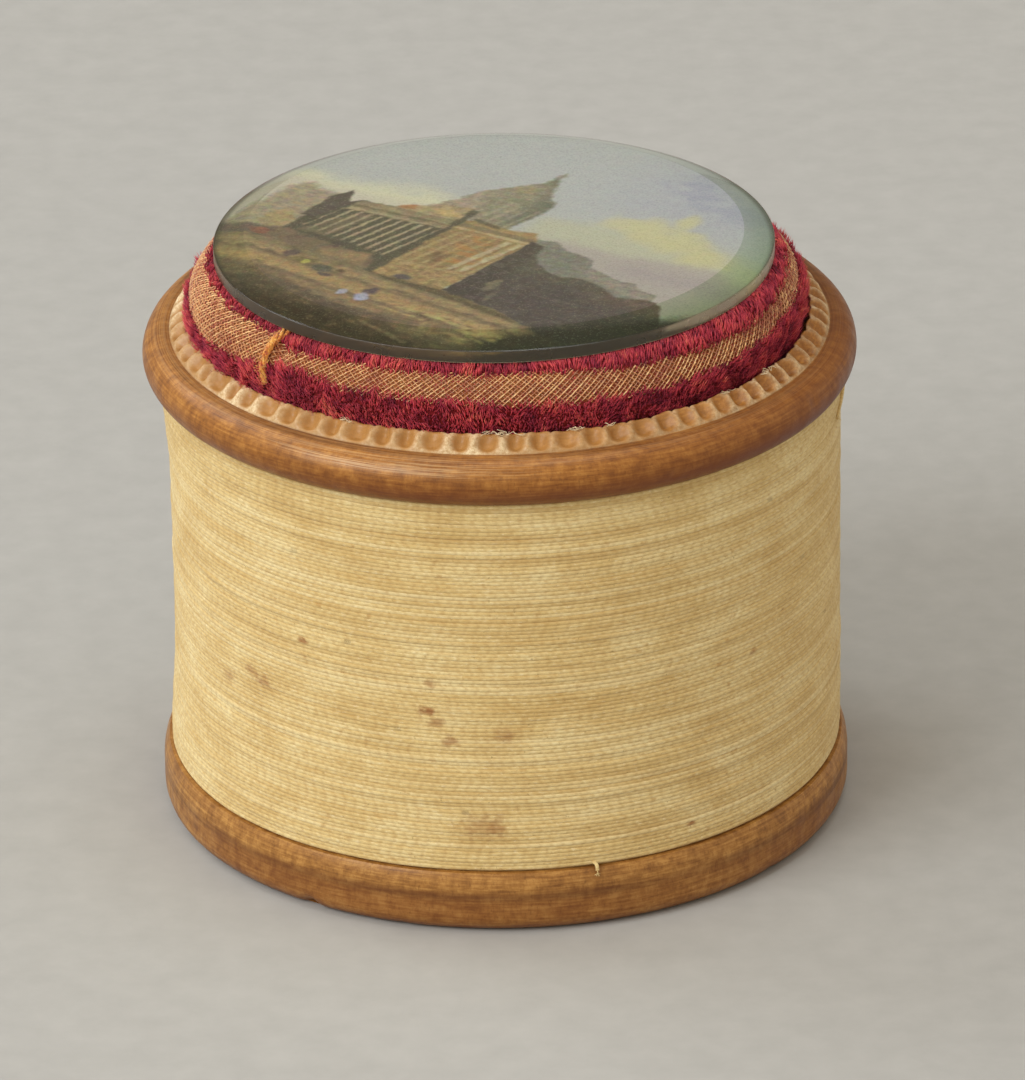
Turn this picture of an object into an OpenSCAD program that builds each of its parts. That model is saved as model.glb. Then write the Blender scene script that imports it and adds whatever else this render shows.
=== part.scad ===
// Turned wooden thread reel with a velvet pincushion and a bevelled glass picture disc on top.
// The frame: millimetres, +Z up, origin at the centre of the underside, front of the object towards -Y.

/* [Reel] */
// Radius of the top flange over its bead
flange_r = 35; // [33:0.5:40]
// Radius of the base flange
base_r = 34.1; // [33.9:0.1:36]
// Thickness of the base flange
base_t = 6.4; // [5.5:0.1:9]
// Height of thread between the two flanges
winding_h = 38.8; // [25:0.1:60]
// Outer radius of the wound thread
winding_r = 33.4; // [28:0.1:33.4]
// Outer radius of the barrel
barrel_r = 11; // [9:0.5:16]
// Radius of the spindle bore through the barrel
bore_r = 6; // [4:0.5:7]

/* [Top flange] */
// Radius of the half-round bead's section
bead_r = 2.5; // [2.1:0.1:2.5]
// Thickness of the web under the cushion seat
web_t = 3; // [1.5:0.1:3]
// Radius of the cushion seat
seat_r = 30.5; // [30.4:0.1:30.8]
// Depth of the cushion seat
seat_depth = 3.5; // [2.8:0.1:4]
// Number of gouge cuts round the moulding
gouge_count = 76; // [40:4:84]
// Radius of each gouge cut's section
gouge_r = 1.05; // [0.8:0.05:1.2]

/* [Cushion] */
// Radius of the velvet cushion
cushion_r = 29.6; // [29:0.1:29.7]
// Height of the cushion from its underside to the glass
cushion_h = 9.2; // [8:0.1:12]
// Thickness of the velvet
velvet_t = 0.6; // [0.4:0.1:0.8]
// How far the cushion has settled to the left in its seat
cushion_shift = 0.4; // [0:0.1:0.5]
// Direction of the velvet's join, in degrees from +X
join_angle = 222; // [180:1:300]

/* [Glass] */
// Radius of the glass disc
glass_r = 27.4; // [26:0.1:28]
// Thickness of the glass at its edge
glass_edge_t = 1.15; // [0.8:0.05:2]
// Height of the bevel
bevel_h = 1; // [0.5:0.1:1.5]
// Width of the bevel
bevel_w = 3; // [1.5:0.1:4]

/* [Hidden] */
$fn = 96;

winding_top = base_t + winding_h;
seat_floor = winding_top + web_t;
rim_top = seat_floor + seat_depth;

// The bead's centre, and the crease where the carved moulding meets it
bead_x = flange_r - bead_r;
bead_z = winding_top + bead_r;
crease_z = bead_z + bead_r;

// Base flange: rounded foot, upright edge, and a gentle quarter-round up to the thread
foot_round = 1.8;
foot_relief_r = 24;
foot_relief_depth = 0.5;
base_upright_h = 4.4;
base_curve_r = 4;
chip_r = 0.9;
chip_inset = 0.3;
chip_z = 0.2;
chip_angle = 235;

// Spindle bore's mouth
mouth_chamfer = 0.6;

// The loose thread end, which hangs over the base flange's upper edge
thread_d = 0.42;
thread_end_angle = 285;
thread_end_len = 2;

// The cushion is a stuffed pad with rounded edges, in a clearance of its own over the seat
seat_gap = 0.1;
cushion_z = seat_floor + seat_gap;
cushion_top = cushion_z + cushion_h - 0.15;
top_round = 2.6;
bottom_round = 2;
hem_r = 23;
top_hem_r = 25.3;
backing_r = 27.4;
backing_t = 1;
draw_thread_r = 0.22;
join_width = 2;
join_proud = 0.45;
join_low = -30;
join_high = 45;

// Picture and glass
glass_z = cushion_z + cushion_h;
picture_t = 0.1;
picture_r = glass_r - 0.2;
mount_card_t = 0.6;
mount_card_r = top_hem_r - 0.3;

// Points of a circular arc in a section, from angle a0 to a1
function arc(cx, cz, r, a0, a1, n = 8) =
    [for (i = [0:n]) [cx + r * cos(a0 + (a1 - a0) * i / n), cz + r * sin(a0 + (a1 - a0) * i / n)]];

// The cushion's side, drawn in by inset, from angle low on its lower curve to angle high on its upper one
function cushion_side(inset, low = -90, high = 90) = concat(
    arc(cushion_r - bottom_round, cushion_z + bottom_round, bottom_round - inset, low, 0),
    arc(cushion_r - top_round, cushion_top - top_round, top_round - inset, 0, high)
);

function reversed(points) = [for (i = [len(points) - 1:-1:0]) points[i]];

module cushion_place() {
    translate([-cushion_shift, 0, 0]) children();
}

module disc(r, z, t) {
    translate([0, 0, z]) cylinder(r = r, h = t);
}

// A flat-bottomed turned disc with the barrel's seat through it
module base_flange() {
    color("peru") difference() {
        rotate_extrude() {
            translate([barrel_r, foot_round]) square([base_r - barrel_r, base_upright_h - foot_round]);
            translate([barrel_r, 0]) square([base_r - foot_round - barrel_r, base_upright_h]);
            translate([base_r - foot_round, foot_round]) circle(r = foot_round);
            intersection() {
                translate([base_r - base_curve_r, base_upright_h]) circle(r = base_curve_r);
                translate([barrel_r, 0]) square([base_r - barrel_r, base_t]);
            }
            translate([barrel_r, 0]) square([base_r - base_curve_r - barrel_r, base_t]);
        }
        translate([0, 0, -1]) difference() {
            cylinder(r = foot_relief_r, h = 1 + foot_relief_depth);
            cylinder(r = barrel_r + 2, h = 1 + foot_relief_depth);
        }
        rotate([0, 0, chip_angle]) translate([base_r - chip_inset, 0, chip_z]) sphere(r = chip_r, $fn = 24);
    }
}

// A plain turned tube, which runs through both flanges
module barrel() {
    color("sienna") difference() {
        cylinder(r = barrel_r, h = seat_floor);
        translate([0, 0, -1]) cylinder(r = bore_r, h = seat_floor + 2);
        translate([0, 0, -0.01]) cylinder(r1 = bore_r + mouth_chamfer, r2 = bore_r, h = mouth_chamfer);
    }
}

// The bead, the web under the seat, and the moulding up to the lip, before it is carved
module top_flange_blank() {
    rotate_extrude() {
        translate([bead_x, bead_z]) circle(r = bead_r);
        translate([barrel_r, winding_top]) square([bead_x - barrel_r, web_t]);
        polygon([
            [seat_r, winding_top], [bead_x, winding_top], [bead_x, crease_z - 0.15],
            [bead_x - 0.5, crease_z + 0.55], [bead_x - 1.2, rim_top - 0.25], [seat_r + 0.4, rim_top],
            [seat_r, rim_top - 0.1]
        ]);
    }
}

// Gouge cuts that slope down across the moulding, one at each step of the circle
module gouges() {
    slope = atan2(rim_top - crease_z, bead_x - seat_r);
    mid_r = (seat_r + bead_x) / 2;
    for (i = [0:gouge_count - 1])
        rotate([0, 0, i * 360 / gouge_count])
            translate([mid_r - 0.2, 0, (rim_top + crease_z) / 2 + 1.15])
                rotate([0, 90 + slope, 0])
                    cylinder(r = gouge_r, h = 2.9, center = true, $fn = 24);
}

module top_flange() {
    color("peru") difference() {
        top_flange_blank();
        gouges();
    }
}

// All layers of the thread as one solid, with the loose end at its lower edge
module thread_winding() {
    color("wheat") {
        difference() {
            disc(winding_r, base_t, winding_h);
            disc(barrel_r, base_t - 1, winding_h + 2);
        }
        rotate([0, 0, thread_end_angle])
            translate([winding_r + 1.05, 0, base_t - 1])
                rotate([0, -28, 0]) cylinder(d = thread_d, h = thread_end_len, $fn = 16);
    }
}

module backing_card() {
    color("burlywood") cushion_place() disc(backing_r, cushion_z + velvet_t, backing_t);
}

// The wool pad, which fills the velvet down to the backing card
module stuffing() {
    floor_z = cushion_z + velvet_t + backing_t;
    color("beige") cushion_place() difference() {
        rotate_extrude() polygon(concat(
            [[0, cushion_z + velvet_t]],
            cushion_side(velvet_t),
            [[0, cushion_top - velvet_t]]
        ));
        translate([0, 0, floor_z - 2]) cylinder(r = cushion_r + 1, h = 2);
    }
}

// A ring of velvet wrapped round the pad, hemmed under the backing card and under the glass
module velvet_cover() {
    color("firebrick") cushion_place() rotate_extrude() polygon(concat(
        [[hem_r, cushion_z]],
        cushion_side(0),
        [[top_hem_r, cushion_top], [top_hem_r, cushion_top - velvet_t]],
        reversed(cushion_side(velvet_t)),
        [[hem_r, cushion_z + velvet_t]]
    ));
}

// The running thread that draws the lower hem in
module draw_thread() {
    color("ivory") cushion_place() translate([0, 0, cushion_z + draw_thread_r + 0.05])
        rotate_extrude() translate([hem_r - draw_thread_r - 0.05, 0]) circle(r = draw_thread_r, $fn = 24);
}

// The stitched selvedge where the velvet's two ends meet
module cover_join() {
    color("goldenrod") cushion_place() rotate([0, 0, join_angle - join_width / 2])
        rotate_extrude(angle = join_width) polygon(concat(
            cushion_side(0, join_low, join_high),
            reversed(cushion_side(-join_proud, join_low, join_high))
        ));
}

module mount_card() {
    color("white") cushion_place() disc(mount_card_r, glass_z - picture_t - mount_card_t, mount_card_t);
}

module picture_print() {
    color("lightsteelblue") cushion_place() disc(picture_r, glass_z - picture_t, picture_t);
}

module glass_disc() {
    color([0.7, 0.85, 0.8, 0.4]) cushion_place() translate([0, 0, glass_z]) {
        cylinder(r = glass_r, h = glass_edge_t);
        translate([0, 0, glass_edge_t]) cylinder(r1 = glass_r, r2 = glass_r - bevel_w, h = bevel_h);
    }
}

base_flange();
barrel();
top_flange();
thread_winding();
backing_card();
stuffing();
velvet_cover();
draw_thread();
cover_join();
mount_card();
picture_print();
glass_disc();
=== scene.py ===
"""Looks of a wound thread reel whose top holds a velvet pincushion and a bevelled glass picture disc.

Shapes are worked out in millimetres and become metres when a mesh is made.
Angles are in degrees from +X, anticlockwise seen from above, so the front is at -90.
"""

import math

import bpy
import numpy as np
from mathutils import Matrix, Vector


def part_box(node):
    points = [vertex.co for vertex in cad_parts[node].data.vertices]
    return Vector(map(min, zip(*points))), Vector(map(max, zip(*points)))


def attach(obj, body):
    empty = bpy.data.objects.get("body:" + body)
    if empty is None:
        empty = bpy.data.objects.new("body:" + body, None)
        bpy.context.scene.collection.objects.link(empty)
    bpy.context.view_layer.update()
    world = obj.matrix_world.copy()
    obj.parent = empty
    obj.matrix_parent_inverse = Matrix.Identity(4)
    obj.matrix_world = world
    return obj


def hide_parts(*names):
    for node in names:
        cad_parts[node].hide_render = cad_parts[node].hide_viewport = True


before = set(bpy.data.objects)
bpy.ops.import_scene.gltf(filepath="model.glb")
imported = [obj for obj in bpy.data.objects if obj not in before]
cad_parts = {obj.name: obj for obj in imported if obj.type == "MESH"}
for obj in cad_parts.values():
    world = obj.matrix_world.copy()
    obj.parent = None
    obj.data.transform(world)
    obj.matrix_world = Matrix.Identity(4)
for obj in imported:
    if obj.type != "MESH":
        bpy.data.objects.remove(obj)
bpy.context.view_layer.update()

MM = 0.001


# ---------------------------------------------------------------- measures

def span(node):
    """Lowest and highest corner of a CAD node, in millimetres."""
    low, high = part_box(node)
    return np.array(low) / MM, np.array(high) / MM


def half_width(node):
    low, high = span(node)
    return (high[0] - low[0]) / 2


BARREL_R, _, SEAT_FLOOR = span("barrel")[1]
BASE_R, _, BASE_TOP = span("base_flange")[1]
WINDING_R = -span("thread_winding")[0][0]
FLANGE_LOW = span("top_flange")[0][2]
FLANGE_R, _, RIM_TOP = span("top_flange")[1]
(CUSHION_LEFT, _, CUSHION_LOW), (CUSHION_RIGHT, _, CUSHION_TOP) = span("velvet_cover")
CUSHION_X = (CUSHION_LEFT + CUSHION_RIGHT) / 2
PICTURE_LOW, PICTURE_R = span("picture_print")[0][2], half_width("picture_print")
(_, _, GLASS_LOW), (_, _, GLASS_TOP) = span("glass_disc")
GLASS_R = half_width("glass_disc")
HEM_R = half_width("draw_thread")

# Steps round the turned wood, and the gap that keeps it off the barrel
LATHE_STEPS = 512
BARREL_GAP = 0.02

# Top flange
BEAD_R = 2.5
SEAT_R = 30.5
GOUGES = 76
GOUGE_STEPS = 16

# Base flange. The relief under it has an inner and an outer radius, a depth and a rounded edge
FOOT_ROUND = 1.8
FOOT_RELIEF = (13.0, 24.0, 0.5)
FOOT_EDGE = 0.15
BASE_UPRIGHT = 4.4
BASE_CURVE_R = 4.0

# Thread
THREAD_D = 0.4
THREAD_TURNS = 97
TURN_STEPS = 288
PLY_PITCH = 1.1
THREAD_BANDS = 4

# Picture and glass
PICTURE_STEPS = 310
PICTURE_TURN = -32.0
GLASS_STEPS = 256
BEVEL_W = 3.0
GLASS_EDGE = 1.15

# Velvet. SIDE_R turns angles into distances round the cushion's side
VELVET_T = 0.5
SIDE_R = 29.4
HEM_GATHERS = 64
JOIN_ANGLE = -138.0
JOIN_STEPS = 60
PILE_HEIGHT = 1.5
STUB_HEIGHT = 0.22
WEAVE_SPACING = 0.56
WEAVE_SLOPE = 1.25
WEAVE_STEPS = 60


# ---------------------------------------------------------------- small tools

def srgb(red, green, blue):
    """A display colour from 0 to 255 as linear numbers."""
    values = np.array([red, green, blue]) / 255
    return tuple(np.where(values <= 0.04045, values / 12.92, ((values + 0.055) / 1.055) ** 2.4))


def smooth_step(low, high, x):
    t = np.clip((x - low) / (high - low), 0, 1)
    return t * t * (3 - 2 * t)


def hill(x, centre, width):
    """A smooth bump of height 1 at centre."""
    return np.exp(-(((x - centre) / width) ** 2))


def turned(angle):
    """An angle in radians brought to between -pi and pi."""
    return (angle + math.pi) % (2 * math.pi) - math.pi


def between(first, second, part):
    """From first to second by a part from 0 to 1, with no corner at either end."""
    fade = part * part * (3 - 2 * part)
    return first * (1 - fade) + second * fade


def random_values(seed, shape):
    return np.random.default_rng(seed).uniform(-1, 1, shape)


def noise_line(x, step, seed):
    """Smooth random values from -1 to 1 along x, with a new one each step."""
    cell = np.floor(x / step).astype(int)
    part = x / step - cell
    cell -= cell.min()
    values = random_values(seed, cell.max() + 2)
    return between(values[cell], values[cell + 1], part)


def noise_ring(angle, cells, seed):
    """Smooth random values from -1 to 1 round a circle, with a whole number of cells."""
    place = (angle / (2 * math.pi) % 1) * cells
    cell = np.floor(place).astype(int) % cells
    values = random_values(seed, cells)
    return between(values[cell], values[(cell + 1) % cells], place - np.floor(place))


def noise_plane(x, y, step, seed):
    """Smooth random values from -1 to 1 over a plane."""
    column, row = np.floor(x / step).astype(int), np.floor(y / step).astype(int)
    across, up = x / step - column, y / step - row
    column, row = column - column.min(), row - row.min()
    values = random_values(seed, (column.max() + 2, row.max() + 2))
    near = between(values[column, row], values[column + 1, row], across)
    far = between(values[column, row + 1], values[column + 1, row + 1], across)
    return between(near, far, up)


def noise_layers(x, y, *layers):
    """Several plane noises added up. Each layer is (strength, step, seed)."""
    return sum(strength * noise_plane(x, y, step, seed) for strength, step, seed in layers)


def unit(vectors):
    return vectors / np.linalg.norm(vectors, axis=-1, keepdims=True)


def arc(centre_r, centre_z, radius, start, stop, steps):
    """Points of a circular arc in a section, as (radius, height)."""
    angles = np.radians(np.linspace(start, stop, steps + 1))
    return np.stack([centre_r + radius * np.cos(angles), centre_z + radius * np.sin(angles)], -1)


def spline(points, steps):
    """A smooth line through points, with steps pieces between neighbours."""
    points = np.array(points, float)
    padded = np.concatenate([[2 * points[0] - points[1]], points, [2 * points[-1] - points[-2]]])
    t = np.linspace(0, 1, steps, endpoint=False)[:, None]
    line = []
    for a, b, c, d in zip(padded, padded[1:], padded[2:], padded[3:]):
        square, cube = 2 * a - 5 * b + 4 * c - d, 3 * b - a - 3 * c + d
        line.append(0.5 * (2 * b + (c - a) * t + square * t**2 + cube * t**3))
    return np.concatenate(line + [points[-1:]])


def spaced(line, count):
    """count points at even steps along a line."""
    lengths = np.concatenate([[0], np.cumsum(np.linalg.norm(np.diff(line, axis=0), axis=1))])
    places = np.linspace(0, lengths[-1], count)
    return np.stack([np.interp(places, lengths, line[:, k]) for k in range(line.shape[1])], -1)


def grid_faces(rows, columns, close_rows=True, close_columns=True):
    """Quads over a grid of points that is stored row by row."""
    row, column = np.meshgrid(
        np.arange(rows if close_rows else rows - 1),
        np.arange(columns if close_columns else columns - 1),
        indexing="ij",
    )
    next_row, next_column = (row + 1) % rows, (column + 1) % columns
    quads = [
        row * columns + column,
        next_row * columns + column,
        next_row * columns + next_column,
        row * columns + next_column,
    ]
    return np.stack(quads, -1).reshape(-1, 4)


def make_piece(name, points, faces, body, material, sharp=None):
    """A mesh object from points in millimetres, about its body's own axis, and arrays of faces."""
    mesh = bpy.data.meshes.new(name)
    axis_x = CUSHION_X if body == "cushion_top" else 0.0
    points = np.asarray(points, float).reshape(-1, 3) + (axis_x, 0, 0)
    faces = [np.asarray(group, np.int32) for group in faces if len(group)]
    corners = np.concatenate([group.ravel() for group in faces])
    sizes = np.concatenate([np.full(len(group), group.shape[1]) for group in faces])
    mesh.vertices.add(len(points))
    mesh.vertices.foreach_set("co", (points * MM).ravel())
    mesh.loops.add(len(corners))
    mesh.loops.foreach_set("vertex_index", corners)
    mesh.polygons.add(len(sizes))
    mesh.polygons.foreach_set("loop_start", np.concatenate([[0], np.cumsum(sizes)[:-1]]))
    mesh.update(calc_edges=True)
    mesh.polygons.foreach_set("use_smooth", np.ones(len(sizes), bool))
    if sharp is not None:
        mesh.set_sharp_from_angle(angle=math.radians(sharp))
    mesh.materials.append(material)
    piece = bpy.data.objects.new(name, mesh)
    bpy.context.scene.collection.objects.link(piece)
    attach(piece, body)
    return piece


def set_values(piece, name, values):
    """Stores one number for each point of a piece, for its material to read."""
    attribute = piece.data.attributes.new(name, "FLOAT", "POINT")
    attribute.data.foreach_set("value", np.asarray(values, np.float32).ravel())


def revolved(profile, steps):
    """Radius, height and angle of a section turned round the axis, each as a steps x points grid."""
    angle = np.linspace(0, 2 * math.pi, steps, endpoint=False)[:, None]
    radius = np.repeat(profile[None, :, 0], steps, 0)
    height = np.repeat(profile[None, :, 1], steps, 0)
    return radius, height, np.repeat(angle, len(profile), 1)


def from_round(radius, angle, height):
    return np.stack([radius * np.cos(angle), radius * np.sin(angle), height], -1)


def fan(centre, ring):
    """Triangles from one point to each pair of neighbours round a ring."""
    return np.stack([np.full(len(ring), centre), ring, np.roll(ring, -1)], -1)


def tube(line, radius, sides):
    """Points and faces of a closed tube along a line, with a radius for each of its points."""
    line = np.asarray(line, float)
    radius = np.broadcast_to(radius, len(line))
    along = unit(np.gradient(line, axis=0))
    side = unit(np.cross(along[0], (0.3, 0.5, 0.81)))
    turns = np.linspace(0, 2 * math.pi, sides, endpoint=False)
    rings = []
    for place, forward, size in zip(line, along, radius):
        side = unit(side - forward * (side @ forward))
        up = np.cross(side, forward)
        rings.append(place + size * (np.cos(turns)[:, None] * side + np.sin(turns)[:, None] * up))
    count = len(line)
    points = np.concatenate([*rings, line[:1], line[-1:]])
    ring = np.arange(sides)
    start = fan(count * sides, ring)
    end = fan(count * sides + 1, (count - 1) * sides + ring)[:, [0, 2, 1]]
    return points, grid_faces(count, sides, close_rows=False), np.concatenate([start, end])


def joined(parts):
    """Several (points, quads, triangles) as one."""
    points, quads, triangles, total = [], [], [], 0
    for own_points, own_quads, own_triangles in parts:
        points.append(own_points)
        quads.append(own_quads + total)
        triangles.append(own_triangles + total)
        total += len(own_points)
    return np.concatenate(points), np.concatenate(quads), np.concatenate(triangles)


def tufts(roots, outward, lean, length, radius, rng):
    """Closed three-sided tapering tufts. Each array has one row for each tuft."""
    low = unit(outward + 0.25 * lean)
    high = unit(0.55 * outward + lean)
    middle = roots + low * length[:, None] * 0.5
    tip = middle + high * length[:, None] * 0.55
    side = unit(np.cross(low, unit(rng.normal(size=roots.shape))))
    other = np.cross(low, side)
    points = np.zeros((len(roots), 7, 3))
    for k in range(3):
        turn = 2 * math.pi * k / 3
        spoke = (side * math.cos(turn) + other * math.sin(turn)) * radius[:, None]
        points[:, k] = roots + spoke
        points[:, 3 + k] = middle + spoke * 0.72
    points[:, 6] = tip
    start = 7 * np.arange(len(roots))[:, None, None]
    quads = np.array([[0, 1, 4, 3], [1, 2, 5, 4], [2, 0, 3, 5]]) + start
    triangles = np.array([[3, 4, 6], [4, 5, 6], [5, 3, 6], [0, 2, 1]]) + start
    return points.reshape(-1, 3), quads.reshape(-1, 4), triangles.reshape(-1, 3)


# ---------------------------------------------------------------- materials

class Shader:
    """One material's node tree. Each method adds a node and gives its output."""

    def __init__(self, name, **settings):
        self.material = bpy.data.materials.new(name)
        self.material.use_nodes = True
        self.tree = self.material.node_tree
        self.surface = self.tree.nodes["Principled BSDF"]
        self.output = self.tree.nodes["Material Output"]
        for socket, value in settings.items():
            self.feed(self.surface.inputs[socket.replace("_", " ")], value)

    def feed(self, socket, value):
        """Links a socket to another, or sets it. Three numbers for a colour are a display colour."""
        if isinstance(value, bpy.types.NodeSocket):
            self.tree.links.new(value, socket)
        elif isinstance(value, tuple) and len(value) == 3 and len(socket.default_value) == 4:
            socket.default_value = (*srgb(*value), 1)
        else:
            socket.default_value = value

    def add(self, kind, sockets=None, **settings):
        node = self.tree.nodes.new("ShaderNode" + kind)
        for key, value in settings.items():
            setattr(node, key, value)
        for socket, value in (sockets or {}).items():
            self.feed(node.inputs[socket], value)
        return node

    def place(self, x=1, y=1, z=1):
        """The object's own coordinates in millimetres, times a factor each."""
        coordinates = self.add("TexCoord").outputs["Object"]
        factors = (x / MM, y / MM, z / MM)
        return self.add("VectorMath", {0: coordinates, 1: factors}, operation="MULTIPLY").outputs[0]

    def turned_place(self, fine, slow):
        """Coordinates for the streaks left by a lathe: quick from the axis out and up, and slow along X."""
        place = self.place()
        flat = self.add("VectorMath", {0: place, 1: (1, 1, 0)}, operation="MULTIPLY").outputs[0]
        radius = self.add("VectorMath", {0: flat}, operation="LENGTH").outputs["Value"]
        axes = self.add("SeparateXYZ", {0: place}).outputs
        sockets = {0: self.times(axes["X"], slow), 1: self.times(radius, fine), 2: self.times(axes["Z"], fine)}
        return self.add("CombineXYZ", sockets).outputs[0]

    def noise(self, vector, scale, detail=2.0, rough=0.5, distortion=0.0):
        sockets = {"Vector": vector, "Scale": scale, "Detail": detail, "Roughness": rough,
                   "Distortion": distortion}
        return self.add("TexNoise", sockets).outputs["Fac"]

    def value(self, name):
        return self.add("Attribute", attribute_name=name).outputs["Fac"]

    def stretch(self, value, low, high, new_low=0.0, new_high=1.0):
        """value from low to high becomes new_low to new_high, and stays within them."""
        sockets = {"Value": value, "From Min": low, "From Max": high, "To Min": new_low, "To Max": new_high}
        return self.add("MapRange", sockets).outputs["Result"]

    def times(self, first, second):
        return self.add("Math", {0: first, 1: second}, operation="MULTIPLY").outputs[0]

    def plus(self, first, second):
        return self.add("Math", {0: first, 1: second}, operation="ADD").outputs[0]

    def wave(self, value):
        return self.add("Math", {0: value}, operation="SINE").outputs[0]

    def mix(self, amount, first, second):
        return self.add("Mix", {"Factor": amount, 6: first, 7: second}, data_type="RGBA").outputs[2]

    def tint(self, colour, other, value, *limits):
        """colour brought towards another by a value, which is stretched between limits first."""
        return self.mix(self.stretch(value, *limits), colour, other)

    def ramp(self, value, *stops):
        """Colours by value. Each stop is (place, display colour)."""
        node = self.add("ValToRGB", {"Fac": value})
        elements = node.color_ramp.elements
        while len(elements) < len(stops):
            elements.new(0.5)
        for element, (place, colour) in zip(elements, stops):
            element.position = place
            element.color = (*srgb(*colour), 1)
        return node.outputs["Color"]

    def bump(self, height, distance, strength=1.0):
        """Relief of a depth in millimetres."""
        sockets = {"Height": height, "Distance": distance * MM, "Strength": strength}
        return self.add("Bump", sockets).outputs["Normal"]

    def finish(self, colour=None, roughness=None, normal=None):
        for socket, value in (("Base Color", colour), ("Roughness", roughness), ("Normal", normal)):
            if value is not None:
                self.feed(self.surface.inputs[socket], value)
        return self.material


def wood(name, dark, middle, light, carved=False):
    """Turned fruitwood. The grain runs along X, so it shows long at the front and as end grain at the sides."""
    s = Shader(name, Coat_Weight=0.15, Coat_Roughness=0.25, Specular_IOR_Level=0.3)
    lathe = s.noise(s.turned_place(4.0, 0.3), 1.0, 4.0, 0.6)
    grain = s.noise(s.place(0.08, 1.2, 1.2), 1.2, 5.0, 0.6, 0.3)
    mottle = s.noise(s.place(1.0, 1.0, 0.6), 0.9, 5.0, 0.7)
    flecks = s.noise(s.place(3.4, 3.4, 1.4), 1.3, 3.0, 0.6)
    grime = s.noise(s.place(0.16, 0.16, 0.35), 1.0, 4.0, 0.6)
    tone = s.plus(s.times(lathe, 0.38), s.times(grain, 0.22))
    tone = s.plus(tone, s.times(mottle, 0.4))
    colour = s.ramp(tone, (0.4, dark), (0.5, middle), (0.6, light))
    colour = s.tint(colour, (96, 56, 22), flecks, 0.56, 0.72, 0, 0.45)
    colour = s.tint(colour, (98, 52, 20), grime, 0.5, 0.72, 0, 0.35)
    if carved:
        # Moulding: a paler tone over the carving, taken away on its right side as painted shade. Then pale dust
        # that also serves as painted highlight on the ridges and lip.
        colour = s.mix(s.times(s.value("carved"), 0.72), colour, (178, 132, 74))
        crumbs = s.stretch(s.noise(s.place(), 3.0, 6.0, 0.75), 0.4, 0.6, 0.35, 1)
        colour = s.mix(s.times(s.value("dust"), crumbs), colour, (238, 218, 178))
        # Painted highlight, stored as "worn": pale streaks across the bead's upper front and a faint pale line
        # along the crease.
        streaks = s.stretch(s.noise(s.turned_place(9.0, 0.12), 1.0, 2.0, 0.6), 0.46, 0.6)
        colour = s.mix(s.times(s.value("worn"), streaks), colour, (206, 168, 120))
    # Painted shade: the lower parts and the right side of the wood are darkened towards a deep red-brown.
    colour = s.mix(s.value("painted_shade"), colour, (112, 54, 16))
    # Painted shade: dark lines in the creases of the turned profile.
    colour = s.mix(s.value("painted_crease_shade"), colour, (66, 34, 12))
    scratches = s.noise(s.turned_place(9.0, 0.2), 1.0, 4.0, 0.7)
    relief = s.plus(s.times(scratches, 0.5), s.times(grain, 0.5))
    roughness = s.stretch(s.noise(s.place(), 0.35, 4.0, 0.6), 0.35, 0.7, 0.36, 0.58)
    return s.finish(colour, roughness, s.bump(relief, 0.045, 0.7))


def mottled(name, scale, noise, dark, light, roughness, *relief, **settings):
    """A plain finish from one noise. dark and light are (place, display colour)."""
    s = Shader(name, **settings)
    tone = s.noise(s.place(*scale), *noise)
    return s.finish(s.ramp(tone, dark, light), roughness, s.bump(tone, *relief) if relief else None)


def barrel_wood():
    s = Shader("bare_turned_wood")
    rings = s.noise(s.place(1.0, 1.0, 0.05), 0.9, 5.0, 0.6, 0.6)
    colour = s.ramp(rings, (0.35, (128, 88, 50)), (0.65, (188, 146, 96)))
    return s.finish(colour, s.stretch(rings, 0.3, 0.7, 0.6, 0.8), s.bump(rings, 0.1, 0.6))


# Stains on the thread: angle, height and size in millimetres, and strength
THREAD_STAINS = [
    (-103.0, 23.4, 0.75, 0.85), (-101.5, 22.2, 0.8, 0.55), (-99.0, 20.3, 0.9, 0.6), (-90.0, 21.0, 1.3, 0.4),
    (-94.0, 11.2, 2.2, 0.4), (-92.0, 11.0, 1.0, 0.3), (-102.5, 26.3, 0.6, 0.5), (-144.5, 21.1, 1.0, 0.5),
    (-138.0, 23.0, 0.8, 0.5), (-134.7, 22.5, 1.0, 0.6), (-125.5, 28.5, 0.5, 0.7), (-43.7, 24.7, 0.5, 0.6),
    (-57.7, 8.8, 0.4, 0.8), (40.0, 30.0, 1.4, 0.5), (95.0, 16.0, 1.8, 0.45), (150.0, 34.0, 0.9, 0.6),
]


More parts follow.
